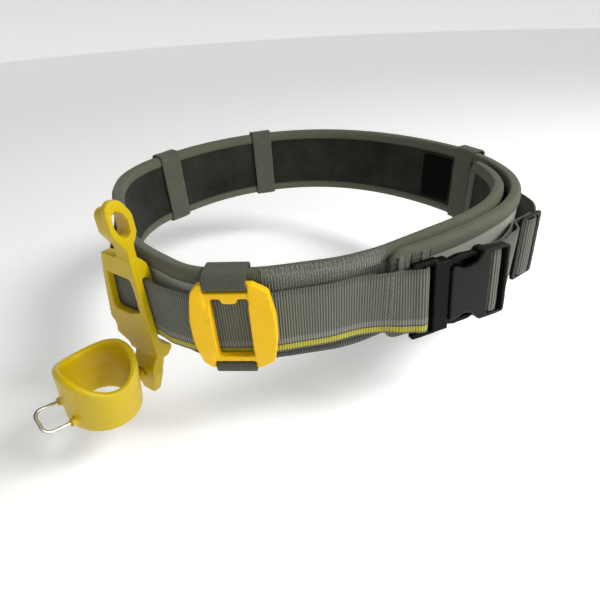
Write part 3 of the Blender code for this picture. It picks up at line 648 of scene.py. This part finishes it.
def strap_finish(name, colour, stripe, pitch):
    """Ribbed webbing with a pale line and a yellow line woven along the lower edge, and painted shade in the
    grooves between the ribs.
    """
    made = Finish(name, 0.75, 0.12)
    vector, along, across = made.strip()
    ribs = made.wave(along, pitch)
    threads = made.wave(across, 0.0013)
    worn = made.noise(vector, 70.0)
    pale = made.math("MULTIPLY", made.striped, made.band(across, *PALE_LINE, 0.0006))
    yellow = made.math("MULTIPLY", made.striped, made.band(across, *YELLOW_LINE, 0.0004))
    dark = made.math("MULTIPLY", made.striped, made.band(across, *DARK_LINE, 0.0002))
    top = made.band(across, *DARK_EDGE, 0.0006)
    body = made.part(threads, 0.35, colour, shade(colour, 0.7))
    body = made.part(pale, 0.7, body, PALE_COLOUR)
    body = made.part(top, 0.55, body, shade(colour, 0.55))
    body = made.part(worn, 0.3, body, shade(colour, 1.35))
    body = made.mix(yellow, body, stripe)
    body = made.part(dark, 0.75, body, shade(colour, 0.18))
    # painted shade: the grooves between the ribs are darkened, less so on the yellow line
    rib_groove_shade = made.math("POWER", made.math("SUBTRACT", 1.0, ribs), 1.6)
    depth = made.math("MULTIPLY_ADD", yellow, -0.35, 0.72)
    made.colour(made.part(rib_groove_shade, depth, body, shade(colour, 0.14)))
    made.bump(made.math("MULTIPLY_ADD", threads, 0.25, ribs), 0.0004)
    return made.material


def keeper_finish(name, colour):
    """Plain tight webbing: fine cross threads."""
    made = Finish(name, 0.85, 0.1)
    vector, along, across = made.strip()
    weft = made.wave(along, 0.0012)
    warp = made.wave(across, 0.0016)
    weave = made.math("MULTIPLY", weft, warp)
    worn = made.noise(vector, 60.0, 4.0)
    base = made.mix(weave, shade(colour, 0.6), shade(colour, 1.25))
    made.colour(made.part(worn, 0.5, base, shade(colour, 1.4)))
    made.bump(weave, 0.00022)
    return made.material


def hook_finish(name):
    """Black hook tape: a close grid of small hooks."""
    made = Finish(name, 0.75)
    _, along, across = made.strip()
    hooks = made.math("MULTIPLY", made.wave(along, 0.0016), made.wave(across, 0.0016))
    made.set({"Specular IOR Level": 0.05})
    made.colour(made.mix(hooks, (0.001, 0.001, 0.001), (0.009, 0.009, 0.008)))
    made.bump(hooks, 0.0007)
    return made.material


def plastic_finish(name, colour, roughness, gloss, coat=0.0, shadow=0.72):
    """Moulded plastic: slight mottling, a fine grain and scuffs."""
    made = Finish(name, roughness)
    place = made.place()
    mottle = made.noise(place, 24.0, 3.0)
    scuffs = made.noise(place, 420.0, 4.0)
    marks = made.math("GREATER_THAN", made.noise(place, 150.0, 2.0), 0.68)
    base = made.part(mottle, 0.35, colour, shade(colour, shadow))
    made.colour(made.part(marks, 0.22, base, shade(colour, 0.55)))
    rough = made.ramp(scuffs, 0.0, 1.0, roughness * 0.8, min(1.0, roughness * 1.35))
    made.link(rough, made.shader.inputs["Roughness"])
    made.set({"Specular IOR Level": gloss, "Coat Weight": coat, "Coat Roughness": 0.2})
    made.bump(made.math("MULTIPLY_ADD", scuffs, 0.5, mottle), 0.00008)
    return made.material


def steel_finish(name):
    """Drawn wire: fine lines and a few dull spots."""
    made = Finish(name, 0.28)
    made.set({"Metallic": 1.0})
    place = made.place()
    dull = made.noise(place, 260.0, 3.0)
    made.colour(made.mix(dull, (0.80, 0.78, 0.74), (0.45, 0.43, 0.39)))
    made.bump(dull, 0.0001)
    return made.material


def thread_finish(name, colour):
    """Twisted sewing thread."""
    made = Finish(name, 0.7, 0.2)
    twist = made.noise(made.place(), 1400.0, 1.0)
    made.colour(made.mix(twist, shade(colour, 0.7), shade(colour, 1.3)))
    made.bump(twist, 0.0001)
    return made.material


# Padded belt

def rounded_half(height, corner, from_end):
    """Half the height of a strip with rounded corners, at a distance from its end."""
    short = max(0.0, corner - from_end)
    return height / 2 - corner + math.sqrt(max(0.0, corner ** 2 - short ** 2))


def belt_height(bearing):
    """Half height of the pad, which is rounded off at its two ends."""
    per_degree = math.radians(1.0) * BELT_ROWS[-1, 1]
    from_end = min(bearing - BELT_FIRST, BELT_LAST - bearing) * per_degree
    return rounded_half(BELT_HEIGHT, BELT_END_RADIUS, from_end)


def belt_section(half, height, binding, end_share):
    """(out, z, zone) round the pad. Zone 0 is tape, 1 the outer face, 2 the inner face."""
    panel = height - binding
    face = []
    for share in (-1.0, -0.93, -0.72, -0.36, 0.0, 0.36, 0.72, 0.93, 1.0):
        sink = 0.55 * abs(share) ** 6 + 0.1
        face.append((half - sink * (1.0 - end_share) - 0.1, share * (panel - 0.3), 1))
    # the tape's lip, its stitched groove, its flat and its rolled edge
    edge = [(half - 0.15, panel, 0), (half + 0.07, panel + 0.25, 0), (half - 0.05, panel + 1.0, 0),
            (half - 0.22, panel + 1.7, 0), (half + 0.02, panel + 2.4, 0), (half + 0.05, height - 5.0, 0),
            (half * 0.93, height - 2.6, 0), (half * 0.70, height - 0.9, 0), (half * 0.36, height - 0.1, 0)]
    outer = [(out, -z, zone) for out, z, zone in reversed(edge)] + face + edge + [(0.0, height, 0)]
    inner = [(-out, -z, 2 if zone == 1 else zone) for out, z, zone in outer]
    return outer + inner


def pad_bearings():
    """A ring at every degree, and closer rings where the two ends are rounded."""
    rounded = [BELT_END_DEGREES * (1 - math.cos(math.radians(turn)))
               for turn in (0.0, 18.0, 34.0, 50.0, 64.0, 78.0)]
    every = [b for b in np.arange(BELT_FIRST, BELT_LAST, 1.0)
             if BELT_FIRST + BELT_END_DEGREES < b < BELT_LAST - BELT_END_DEGREES]
    every += [BELT_FIRST + e for e in rounded] + [BELT_LAST - e for e in rounded]
    return sorted({round(float(b), 3) for b in every})


def pad_slack(reach, z):
    """How far the face's cloth sinks or puffs at a distance along the belt and a height."""
    puff = 0.55 * math.sin(reach * 0.11) * math.sin(reach * 0.043)
    return (puff - 0.95 + 0.4 * math.sin(reach * 0.19 + z * 0.09)) * (1.0 - (z / PANEL_CROWN) ** 2)


class BELT_OT_pad(bpy.types.Operator):
    """Build the padded belt with its edge tape, mesh inner face and cover"""
    bl_idname = "belt.pad"
    bl_label = "Padded belt"

    def execute(self, context):
        looks = context.scene.belt_looks
        binding = looks.binding_width / MM
        bearings = pad_bearings()
        reaches = distances([belt_station(b)[0] for b in bearings])
        rings, marks, zones = [], [], []
        for bearing, reach in zip(bearings, reaches):
            middle, outward, thick = belt_station(bearing)
            height = belt_height(bearing)
            edge = min(bearing - BELT_FIRST, BELT_LAST - bearing)
            end_share = max(0.0, 1.0 - edge / BELT_END_DEGREES)
            section = belt_section(thick / 2 * (1.0 - 0.35 * end_share ** 2), height,
                                   min(binding, height * 0.45), end_share)
            napped = NAP_FROM < bearing < NAP_TO
            ring, row = [], []
            for out, z, zone in section:
                if napped and out > 0.1 and abs(z) > NAP_LOW:
                    row.append(3)
                else:
                    row.append(0 if edge < END_TAPE_DEGREES else zone)
                if zone and end_share == 0.0:
                    out += pad_slack(reach, z) * (1 if out > 0 else -1)
                ring.append((*(middle + outward * out), z))
            rings.append(ring)
            marks.append([(reach * MM, z * MM) for _, z, _ in section])
            zones.append(row)

        def zone_of(i, j):
            here, after = zones[i][j], zones[i][(j + 1) % len(zones[i])]
            return here if here == after else 0

        pad = skin("belt_pad", rings, marks, zone_of)
        seam = BELT_HEIGHT / 2 * MM - looks.binding_width
        dress(pad, BELT_BODY, "padded_fabric",
              tape_finish("belt_tape", looks.binding_colour, seam),
              cover_finish("belt_cover", shade(looks.strap_colour, 1.45), seam),
              spacer_finish("belt_spacer_mesh", looks.mesh_colour),
              nap_finish("belt_nap", shade(looks.strap_colour, 0.8)))
        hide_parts("padded_belt")
        return {"FINISHED"}


def seam_seats(binding, pitch):
    """Stitches along both edges of both faces, just inside the edge tape's lip."""
    seats = []
    height = BELT_HEIGHT / 2 - binding + 1.7
    first, last = BELT_FIRST + SEAM_END_DEGREES, BELT_LAST - SEAM_END_DEGREES
    for bearing in np.arange(first, last, math.degrees(pitch / SEAM_RADIUS)):
        middle, along, outward, thick = belt_place(bearing)
        for side in (-1, 1):
            for up in (-1, 1):
                point = (*(middle + outward * side * (thick / 2 - 0.05)), up * height)
                seats.append((point, (*along, 0.0), (*(outward * side), 0.0)))
    return seats


def end_tack_seats():
    """Bar tacks at the belt's outer end, and dark threads down their two sides that paint the tacks' shade.
    """
    bars, tack_shade_threads = [], []
    for from_end, width in END_TACKS:
        bearing = BELT_LAST - from_end
        middle, along, outward, thick = belt_place(bearing)
        height = belt_height(bearing)
        for k in range(TACK_COUNT):
            for half in (-1, 1):
                plan = middle + outward * (thick / 2 - 0.25) + along * half * width / 4
                bars.append(((*plan, height - 4.5 - k * TACK_PITCH), (*along, 0.12 * half), (*outward, 0.0)))
        # painted shade: dark threads down both sides of each tack stand in for its shadow
        for side in (-0.56, 0.56):
            plan = middle + outward * (thick / 2 - 0.1) + along * side * width
            for k in range(TACK_SHADE_COUNT):
                way = (0.04 * math.sin(k * 2.0), 0.0, 1.0)
                tack_shade_threads.append(((*plan, height - 6.0 - k * TACK_SHADE_PITCH), way, (*outward, 0.0)))
    return bars, tack_shade_threads


def pile_seats():
    """Raised threads over the napped front, loose and leaning along the belt's top edge."""
    seats = []
    for z, step, lean_by in PILE_ROWS:
        rolled_in = z > PILE_ROLLED_IN
        for number, bearing in enumerate(np.arange(NAP_FROM, NAP_TO, step)):
            middle, along, outward, thick = belt_place(bearing)
            lean = lean_by * (math.sin(number * 2.3) + 0.6 * math.sin(number * 5.1 + z))
            plan = middle + outward * (thick / 2 - (0.9 if rolled_in else 0.2))
            point = (*plan, z + 3.0 * lean_by * math.sin(number * 1.9))
            seats.append((point, (*(along * lean - outward * 0.22 * rolled_in), 1.0), (*outward, 0.0)))
    return seats


class BELT_OT_seams(bpy.types.Operator):
    """Sew the edge tape down on both faces, and tack the belt's outer end"""
    bl_idname = "belt.seams"
    bl_label = "Belt seams"

    def execute(self, context):
        looks = context.scene.belt_looks
        pitch = looks.stitch_pitch / MM
        bars, tack_shade_threads = end_tack_seats()
        threads = (
            # name, seats, length, radius, finish, colour
            ("belt_seam_stitches", seam_seats(looks.binding_width / MM, pitch), pitch * 0.62, 0.30,
             "seam_thread", shade(looks.binding_colour, 0.8)),
            ("belt_end_tacks", bars, 4.4, 0.50, "tack_thread", shade(looks.strap_colour, 0.8)),
            # painted shade: the dark threads beside the tacks stand in for their shadow
            ("belt_tack_painted_shade", tack_shade_threads, 3.6, 0.55, "painted_shade_thread", shade(looks.mesh_colour, 1.5)),
            ("belt_pile", pile_seats(), 3.9, 0.42, "pile_thread", shade(looks.strap_colour, 1.2)),
        )
        for name, seats, length, radius, finish, colour in threads:
            made = stitches(name, seats, length, radius)
            dress(made, BELT_BODY, "padded_fabric", thread_finish(finish, colour))
        return {"FINISHED"}


class BELT_OT_hook_patch(bpy.types.Operator):
    """Build the hook tape patch on the belt's inner face"""
    bl_idname = "belt.hook_patch"
    bl_label = "Hook patch"

    def execute(self, context):
        shares = np.linspace(0.0, 1.0, 25)
        bearings = PATCH_FROM + (PATCH_TO - PATCH_FROM) * shares
        reaches = distances([belt_station(b)[0] for b in bearings])
        rings, marks = [], []
        for share, bearing, reach in zip(shares, bearings, reaches):
            middle, outward, thick = belt_station(bearing)
            height = rounded_half(PATCH_HEIGHT, PATCH_CORNER, min(share, 1.0 - share) * PATCH_LENGTH)
            low, high = -thick / 2 - 0.2, -thick / 2 - GAP - 1.15
            edge = [(high + 0.05, height - 2.2), (high, height - 0.6), (high + 0.4, height), (low, height)]
            section = [(out, -z) for out, z in reversed(edge)]
            section += [(high - 0.05, z) for z in np.linspace(3.2 - height, height - 3.2, 9)]
            section += edge
            rings.append([(*(middle + outward * out), z) for out, z in section])
            marks.append([(reach * MM, z * MM) for _, z in section])
        patch = skin("hook_patch", rings, marks)
        dress(patch, BELT_BODY, "hook_tape", hook_finish("hook_tape"))
        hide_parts("closure_patch")
        return {"FINISHED"}


# Waist strap

def webbing(name, nodes, pieces, pitch, lines_from, lines_to):
    """The strap's webbing through nodes of (middle point, direction across): its ribs stand across
    it, its selvedges are thinner, and its lines show between two bearings."""
    path, reach = even_path(smooth_path(nodes, pieces), pitch / 4)
    ahead = np.gradient(path[:, :3], axis=0)
    rings, marks = [], []
    for middle, edge, along, at in zip(path[:, :3], path[:, 3:], ahead, reach):
        edge = edge / np.linalg.norm(edge)
        side = np.cross(edge, along)
        side /= np.linalg.norm(side)
        rib = 0.5 + 0.5 * math.sin(2 * math.pi * at / pitch)
        out = STRAP_THICK / 2 - RIB_DEPTH * (1.0 - rib) + 0.05
        front = [(out, level * (STRAP_WIDTH / 2 - 0.5)) for level in np.linspace(-0.75, 0.75, 7)]
        front = [(out * 0.72, -STRAP_WIDTH / 2)] + front + [(out * 0.72, STRAP_WIDTH / 2)]
        section = front + [(-o, z) for o, z in reversed(front)]
        rings.append([middle + side * o + edge * z for o, z in section])
        bearing = math.degrees(math.atan2(-middle[1], middle[0])) % 360.0
        striped = float(lines_from < bearing < lines_to)
        marks.append([(at * MM, z * MM, striped) for _, z in section])
    return skin(name, rings, marks)


def strap_route():
    """Nodes of the strap, from its sewn end round the plug's bar to the turn in the buckle's socket."""
    sewn_end = laced_nodes(((-52.5, 5.6), (-48.0, 4.0), (-44.0, 3.5), (-40.4, 3.4), (-38.0, 2.5),
                            (-36.9, 0.0), (-37.8, -2.4), (-40.2, -3.4), (-43.4, -2.6), (-48.0, 0.3),
                            (-54.0, 3.0)), *BUCKLE)
    over_end = plan_nodes((polar(73.5, 178.2),), STRAP_MID_Z + 3.0)
    front = [strap_node(b) for b in np.arange(80.0, 123.0, STRAP_STEP_DEG)]
    hook = ((6.0, 3.3), (-1.0, 3.8), (-16.0, 3.8), (-32.0, 3.8), (-46.5, 4.4))
    through_hook = plan_nodes(on_plan(hook, HOLDER_AT, HOLDER_YAW))
    round_back = [strap_node(b) for b in np.arange(146.0, 366.0, STRAP_STEP_DEG)]
    bend = plan_nodes(((197.0, -36.0), (198.4, -50.0), (198.2, -62.0)))
    half_slide = ((12.0, 0.8), (9.2, -0.2), (7.0, -1.9), (5.2, -4.0), (2.8, -5.1))
    slide = laced_nodes(((15.5, 1.8),) + half_slide + ((0.0, -5.4),)
                        + tuple((-x, y) for x, y in reversed(half_slide)) + ((-16.0, 0.2),), *SLIDE)
    free_span = plan_nodes(((163.0, -112.4),), (SLIDE[1] + BUCKLE[1]) / 2)
    adjust_end = laced_nodes(((46.5, 10.9), (38.5, 6.6), (31.5, 4.4), (27.7, 3.4), (25.7, 1.6),
                              (24.7, -0.6), (23.7, -3.0), (21.9, -4.3), (19.9, -4.6), (17.7, -4.2),
                              (16.1, -2.6), (15.5, 0.5), (15.5, 4.6)), *BUCKLE)
    return sewn_end + over_end + front + through_hook + round_back + bend + slide + free_span + adjust_end


def tail_route():
    """Nodes of the strap's free end, from the buckle's socket to over the slide."""
    near = laced_nodes(((18.9, 7.4), (26.5, 6.4), (32.5, 7.2), (39.5, 10.2)), *BUCKLE)
    middle = plan_nodes(((158.6, -109.4),), (SLIDE[1] + BUCKLE[1]) / 2)
    return near + middle + laced_nodes(((-15.0, 3.4), (-6.0, 3.6), (4.0, 3.6), (12.0, 4.6)), *SLIDE)


def strap_tack_seats():
    """Two zigzag columns through the doubled strap beside the plug."""
    path, _ = even_path(smooth_path(strap_route(), 8), 0.5)
    bearings = np.degrees(np.arctan2(-path[:, 1], path[:, 0]))
    # the strap's front layer lies further out than its turned end
    behind = np.linalg.norm(path[:, :2], axis=1) <= STRAP_LAYERS_MEET
    upright = np.array((0.0, 0.0, 1.0))
    seats = []
    for bearing in STRAP_TACKS:
        near = int(np.argmin(np.abs(bearings - bearing) + 90.0 * behind))
        middle, along = path[near, :3], path[near + 1, :3] - path[near - 1, :3]
        along /= np.linalg.norm(along)
        outward = np.cross(along, upright)
        outward *= np.sign(outward @ middle)
        for k in range(STRAP_TACK_COUNT):
            up = (k - (STRAP_TACK_COUNT - 1) / 2) * STRAP_TACK_PITCH
            point = middle + outward * (STRAP_THICK / 2 + 0.1) + upright * up
            seats.append((point, along * (0.7 if k % 2 else -0.7) + upright, outward))
    return seats


class BELT_OT_strap(bpy.types.Operator):
    """Build the ribbed waist strap and its free end"""
    bl_idname = "belt.strap"
    bl_label = "Waist strap"

    def execute(self, context):
        looks = context.scene.belt_looks
        pitch = looks.rib_pitch / MM
        finish = strap_finish("strap_webbing", looks.strap_colour, looks.stripe_colour, looks.rib_pitch)
        for name, node, route, pieces, striped in (
                ("strap_webbing", "waist_strap", strap_route(), 8, (STRIPED_FROM, STRIPED_TO)),
                ("strap_free_end", "strap_tail", tail_route(), 10, (0.0, 0.0))):
            made = webbing(name, route, pieces, pitch, *striped)
            dress(made, BELT_BODY, "grey_webbing", finish)
            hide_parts(node)
        made = stitches("strap_tacks", strap_tack_seats(), 2.1, 0.36)
        dress(made, BELT_BODY, "grey_webbing", thread_finish("strap_thread", shade(looks.strap_colour, 1.3)))
        return {"FINISHED"}


# Keepers

def keeper_loop(inner, outer, high):
    """(out, z, normal's out, normal's z) round a keeper's inner skin: each corner and the side after it."""
    loop = []
    for out, z, turn, side, count in (
            (outer, high, 0.0, ((outer - 3.5, high), (inner + 3.5, high)), 3),
            (inner, high, 90.0, ((inner, high - 8.0), (inner, 8.0 - high)), 12),
            (inner, -high, 180.0, ((inner + 3.5, -high), (outer - 3.5, -high)), 3),
            (outer, -high, 270.0, ((outer, 8.0 - high), (outer, high - 8.0)), 12)):
        centre_out = out - math.copysign(KEEPER_CORNER, out)
        centre_z = z - math.copysign(KEEPER_CORNER, z)
        for k in range(5):
            angle = math.radians(turn + 22.5 * k)
            c, s = math.cos(angle), math.sin(angle)
            loop.append((centre_out + KEEPER_CORNER * c, centre_z + KEEPER_CORNER * s, c, s))
        loop += [(*point, c, s) for point in np.linspace(*side, count)]
    return loop


def keeper_mesh(name, bearing):
    """A webbing band round the pad and the strap, with folded corners, waves and thin selvedges."""
    skins = ([], [])
    for share in (-0.5, -0.485, -0.44, -0.3, -0.1, 0.1, 0.3, 0.44, 0.485, 0.5):
        middle, outward, thick = belt_station(bearing + share * math.degrees(KEEPER_WIDTH / KEEPER_RADIUS))
        over_strap = thick / 2 + GAP + STRAP_THICK + 0.1 + GAP
        loop = keeper_loop(-thick / 2 - GAP, over_strap, BELT_HEIGHT / 2 + GAP)
        thin = 0.45 if abs(share) > 0.495 else (0.15 if abs(share) > 0.47 else 0.0)
        for rows, grow, wave in zip(skins, (thin, KEEPER_THICK - thin), (0.0, 0.24)):
            points = []
            for out, z, normal_out, normal_z in loop:
                offset = grow + wave * math.sin(z * 0.31 + share * 5.0)
                points.append((out + normal_out * offset, z + normal_z * offset))
            ring = [(*(middle + outward * out), z) for out, z in points]
            mark = [(reach * MM, share * KEEPER_WIDTH * MM) for reach in distances(points)]
            rows.append((ring, mark))
    inner, outer = skins
    rows = outer + inner[::-1] + outer[:1]
    made = skin(name, [ring for ring, _ in rows], [mark for _, mark in rows], caps=False)
    bm = bmesh.new()
    bm.from_mesh(made.data)
    bmesh.ops.remove_doubles(bm, verts=bm.verts, dist=1e-6)
    bmesh.ops.recalc_face_normals(bm, faces=bm.faces)
    bm.to_mesh(made.data)
    bm.free()
    return made


def flat_band(name, path, thick, low, high, at, yaw):
    """A webbing band whose path runs in an upright plane (y, z) and whose width lies along x, all in
    the axes of the piece that carries it."""
    path, reach = even_path(path, 1.2)
    # share of the width, share of the thickness
    front = ((0.0, 0.6), (0.03, 1.0), (0.12, 1.0), (0.4, 1.0),
             (0.6, 1.0), (0.88, 1.0), (0.97, 1.0), (1.0, 0.6))
    front = [(thick / 2 * full, low + (high - low) * share) for share, full in front]
    section = front + [(-out, x) for out, x in reversed(front)]
    rings, marks = [], []
    for point, side, length in zip(path, path_sides(path), reach):
        plan = on_plan([(x, point[0] + side[0] * out) for out, x in section], at, yaw)
        rings.append([(*place, point[1] + side[1] * out) for place, (out, _) in zip(plan, section)])
        marks.append([(length * MM, x * MM) for _, x in section])
    return skin(name, rings, marks)


def front_keeper_half(slot, end):
    """(y, z) of the front keeper's upper half: up through a slot, over the belt and down behind it."""
    front = -FRAME_THICK - 2 * GAP - KEEPER_THICK / 2
    behind = 16.4
    top = BELT_HEIGHT / 2 + GAP + KEEPER_THICK / 2 + 0.4
    return [(1.1, slot + end), (0.9, slot + 1.6), (-0.6, slot + 0.1), (-3.4, slot),
            (front + 1.0, slot + 0.5), (front, slot + 2.2), (front + 0.2, top - 2.2),
            (front + 2.4, top), (4.0, top + 0.3), (behind - 3.0, top), (behind - 0.4, top - 2.2),
            (behind, 20.0), (behind, 0.0)]


def front_keeper_route():
    """(y, z) of the whole front keeper. Its lower half is the upper one turned over."""
    low, high = FRAME_WINDOW_Z
    past_bar = FRAME_BAR + FRAME_SLOT / 2
    lower = [(y, -z) for y, z in front_keeper_half(past_bar - low, 4.4)]
    return front_keeper_half(past_bar + high, 5.0) + lower[-2::-1]


class BELT_OT_keepers(bpy.types.Operator):
    """Build the four webbing keepers"""
    bl_idname = "belt.keepers"
    bl_label = "Keepers"

    def execute(self, context):
        looks = context.scene.belt_looks
        finish = keeper_finish("keeper_webbing", looks.keeper_colour)
        for node, bearing in KEEPERS:
            made = keeper_mesh(node + "_band", bearing)
            dress(made, BELT_BODY, "keeper_webbing", finish)
            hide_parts(node)
        half = FRONT_KEEPER_WIDTH / 2
        front = flat_band("keeper_front_band", smooth_path(front_keeper_route(), 8), KEEPER_THICK,
                          FRONT_KEEPER_MIDDLE - half, FRONT_KEEPER_MIDDLE + half, FRAME_AT, FRAME_YAW)
        dress(front, BELT_BODY, "keeper_webbing", finish)
        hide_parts("keeper_front")
        return {"FINISHED"}


# Mouldings and wire

class BELT_OT_mouldings(bpy.types.Operator):
    """Build the yellow holder, ring and frame, the wire loop, and the black buckle and slide"""
    bl_idname = "belt.mouldings"
    bl_label = "Mouldings and wire"

    def execute(self, context):
        looks = context.scene.moulding_looks
        lemon = plastic_finish("lemon_plastic", looks.holder_colour, 0.36, coat=0.12, gloss=0.25)
        golden = plastic_finish("golden_plastic", looks.frame_colour, 0.34, coat=0.12, shadow=0.82,
                                gloss=0.2)
        black = plastic_finish("black_plastic", looks.buckle_colour, 0.38, shadow=0.8, gloss=0.16)
        # painted shade: the plug gets a darker, duller copy of the black plastic, as it sits in shade
        shaded_black = plastic_finish("shaded_black_plastic", shade(looks.buckle_colour, 0.45), 0.42, shadow=0.8,
                              gloss=0.1)
        pieces = (
            # name, CAD node, body, slot, finish, cell as a share of the usual, smoothing rounds
            ("holder_moulding", "holder_plate", BELT_BODY, "lemon_plastic", lemon, 1.0, 14),
            ("ring_moulding", "hammer_ring", RING_BODY, "lemon_plastic", lemon, 1.0, 12),
            ("frame_moulding", "accessory_frame", BELT_BODY, "golden_plastic", golden, 0.9, 16),
            ("buckle_plug_moulding", "buckle_male", BELT_BODY, "black_plastic", shaded_black, 0.85, 14),
            ("buckle_socket_moulding", "buckle_female", BELT_BODY, "black_plastic", black, 0.95, 16),
            ("slide_moulding", "tri_glide", BELT_BODY, "black_plastic", black, 0.8, 4),
            ("wire_bend", "wire_loop", RING_BODY, "steel_wire", steel_finish("drawn_wire"), 0.6, 6),
        )
        for name, node, body, slot, finish, share, rounds in pieces:
            made = moulded_copy(name, node, looks.edge_round * share, rounds)
            dress(made, body, slot, finish)
            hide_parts(node)
        return {"FINISHED"}


# Stage

def soft_light(name, at, aim, size, power):
    """A square area light at a point, facing another point."""
    data = bpy.data.lights.new(name, "AREA")
    data.shape = "SQUARE"
    data.size = size
    data.energy = power
    made = add_object(name, data)
    made.location = at
    made.rotation_euler = (Vector(aim) - Vector(at)).to_track_quat("-Z", "Y").to_euler()


def pale_finish(name, colour):
    """A matt pale surface that glows a little."""
    finish = Finish(name, 0.95)
    finish.set({"Base Color": (*colour, 1.0), "Specular IOR Level": 0.1,
                "Emission Color": (1.0, 1.0, 0.99, 1.0), "Emission Strength": FLOOR_GLOW})
    return finish


def bowl(low):
    """A flat round floor at a height, whose rim curves up into a wall."""
    turns = np.linspace(0.0, 2 * math.pi, BOWL_TURNS + 1)[:-1]
    corners = [(radius * math.cos(a), radius * math.sin(a), low + height)
               for radius, height in BOWL_ROWS for a in turns]
    faces = ring_faces(len(BOWL_ROWS), BOWL_TURNS)
    mesh = bpy.data.meshes.new("floor")
    mesh.from_pydata(corners, [], faces)
    mesh.shade_smooth()
    mesh.materials.append(pale_finish("pale_floor", (0.90, 0.90, 0.89)).material)
    # the wall fades as it rises
    wall = pale_finish("pale_wall", (0.80, 0.80, 0.80))
    height = wall.node("ShaderNodeSeparateXYZ")
    wall.link(wall.place(), height.inputs[0])
    glow = wall.ramp(height.outputs["Z"], low, low + 1.0, *WALL_GLOW)
    wall.link(glow, wall.shader.inputs["Emission Strength"])
    mesh.materials.append(wall.material)
    flat = FLAT_ROWS * BOWL_TURNS
    mesh.polygons.foreach_set("material_index", [0] * flat + [1] * (len(faces) - flat))
    return add_object("floor", mesh)


def stage_camera():
    """The camera, looking down along Y with a little roll."""
    data = bpy.data.cameras.new("camera")
    data.lens = CAMERA_LENS
    data.sensor_width = 36.0
    data.clip_start = 0.01
    camera = add_object("camera", data)
    look = Matrix.Rotation(math.radians(90.0 - CAMERA_DOWN_DEG), 4, "X")
    roll = Matrix.Rotation(math.radians(CAMERA_ROLL_DEG), 4, "Z")
    camera.matrix_world = Matrix.Translation(CAMERA_AT) @ look @ roll
    return camera


class BELT_OT_stage(bpy.types.Operator):
    """Set the pale floor, the soft lights and the camera"""
    bl_idname = "belt.stage"
    bl_label = "Stage"

    def execute(self, context):
        looks = context.scene.stage_looks
        bowl(CAD_BOX[0][2] - looks.floor_drop)
        world = bpy.data.worlds.new("studio")
        world.use_nodes = True
        background = world.node_tree.nodes["Background"]
        background.inputs["Color"].default_value = (1.0, 1.0, 1.0, 1.0)
        background.inputs["Strength"].default_value = ROOM_LIGHT
        context.scene.world = world
        soft_light("key_light", (0.95, -0.35, 0.95), (0.0, -0.05, 0.0), 0.45, looks.light_power)
        soft_light("front_light", (0.25, -1.05, 0.80), (0.0, -0.1, 0.0), 0.8,
                   looks.light_power * FRONT_LIGHT)
        context.scene.camera = stage_camera()
        context.scene.view_settings.view_transform = "Standard"
        return {"FINISHED"}


class BELT_PT_panel(bpy.types.Panel):
    """Sizes and colours of the belt, and a button for each group of pieces"""
    bl_idname = "BELT_PT_panel"
    bl_label = "Hammer holder belt"
    bl_space_type = "VIEW_3D"
    bl_region_type = "UI"
    bl_category = "Tool belt"

    def draw(self, context):
        for group in (context.scene.belt_looks, context.scene.moulding_looks, context.scene.stage_looks):
            box = self.layout.box()
            for name in group.bl_rna.properties.keys():
                if name not in ("rna_type", "name"):
                    box.prop(group, name)
        for operator in OPERATORS:
            self.layout.operator(operator.bl_idname)


GROUPS = (BeltLooks, MouldingLooks, StageLooks)
OPERATORS = (BELT_OT_pad, BELT_OT_seams, BELT_OT_hook_patch, BELT_OT_strap, BELT_OT_keepers,
             BELT_OT_mouldings, BELT_OT_stage)
CLASSES = GROUPS + OPERATORS + (BELT_PT_panel,)


def register():
    for one in CLASSES:
        bpy.utils.register_class(one)
    bpy.types.Scene.belt_looks = PointerProperty(type=BeltLooks)
    bpy.types.Scene.moulding_looks = PointerProperty(type=MouldingLooks)
    bpy.types.Scene.stage_looks = PointerProperty(type=StageLooks)


def unregister():
    del bpy.types.Scene.stage_looks
    del bpy.types.Scene.moulding_looks
    del bpy.types.Scene.belt_looks
    for one in reversed(CLASSES):
        bpy.utils.unregister_class(one)


def main():
    register()
    bpy.ops.belt.pad()
    bpy.ops.belt.seams()
    bpy.ops.belt.hook_patch()
    bpy.ops.belt.strap()
    bpy.ops.belt.keepers()
    bpy.ops.belt.mouldings()
    bpy.ops.belt.stage()


if __name__ == "__main__":
    main()
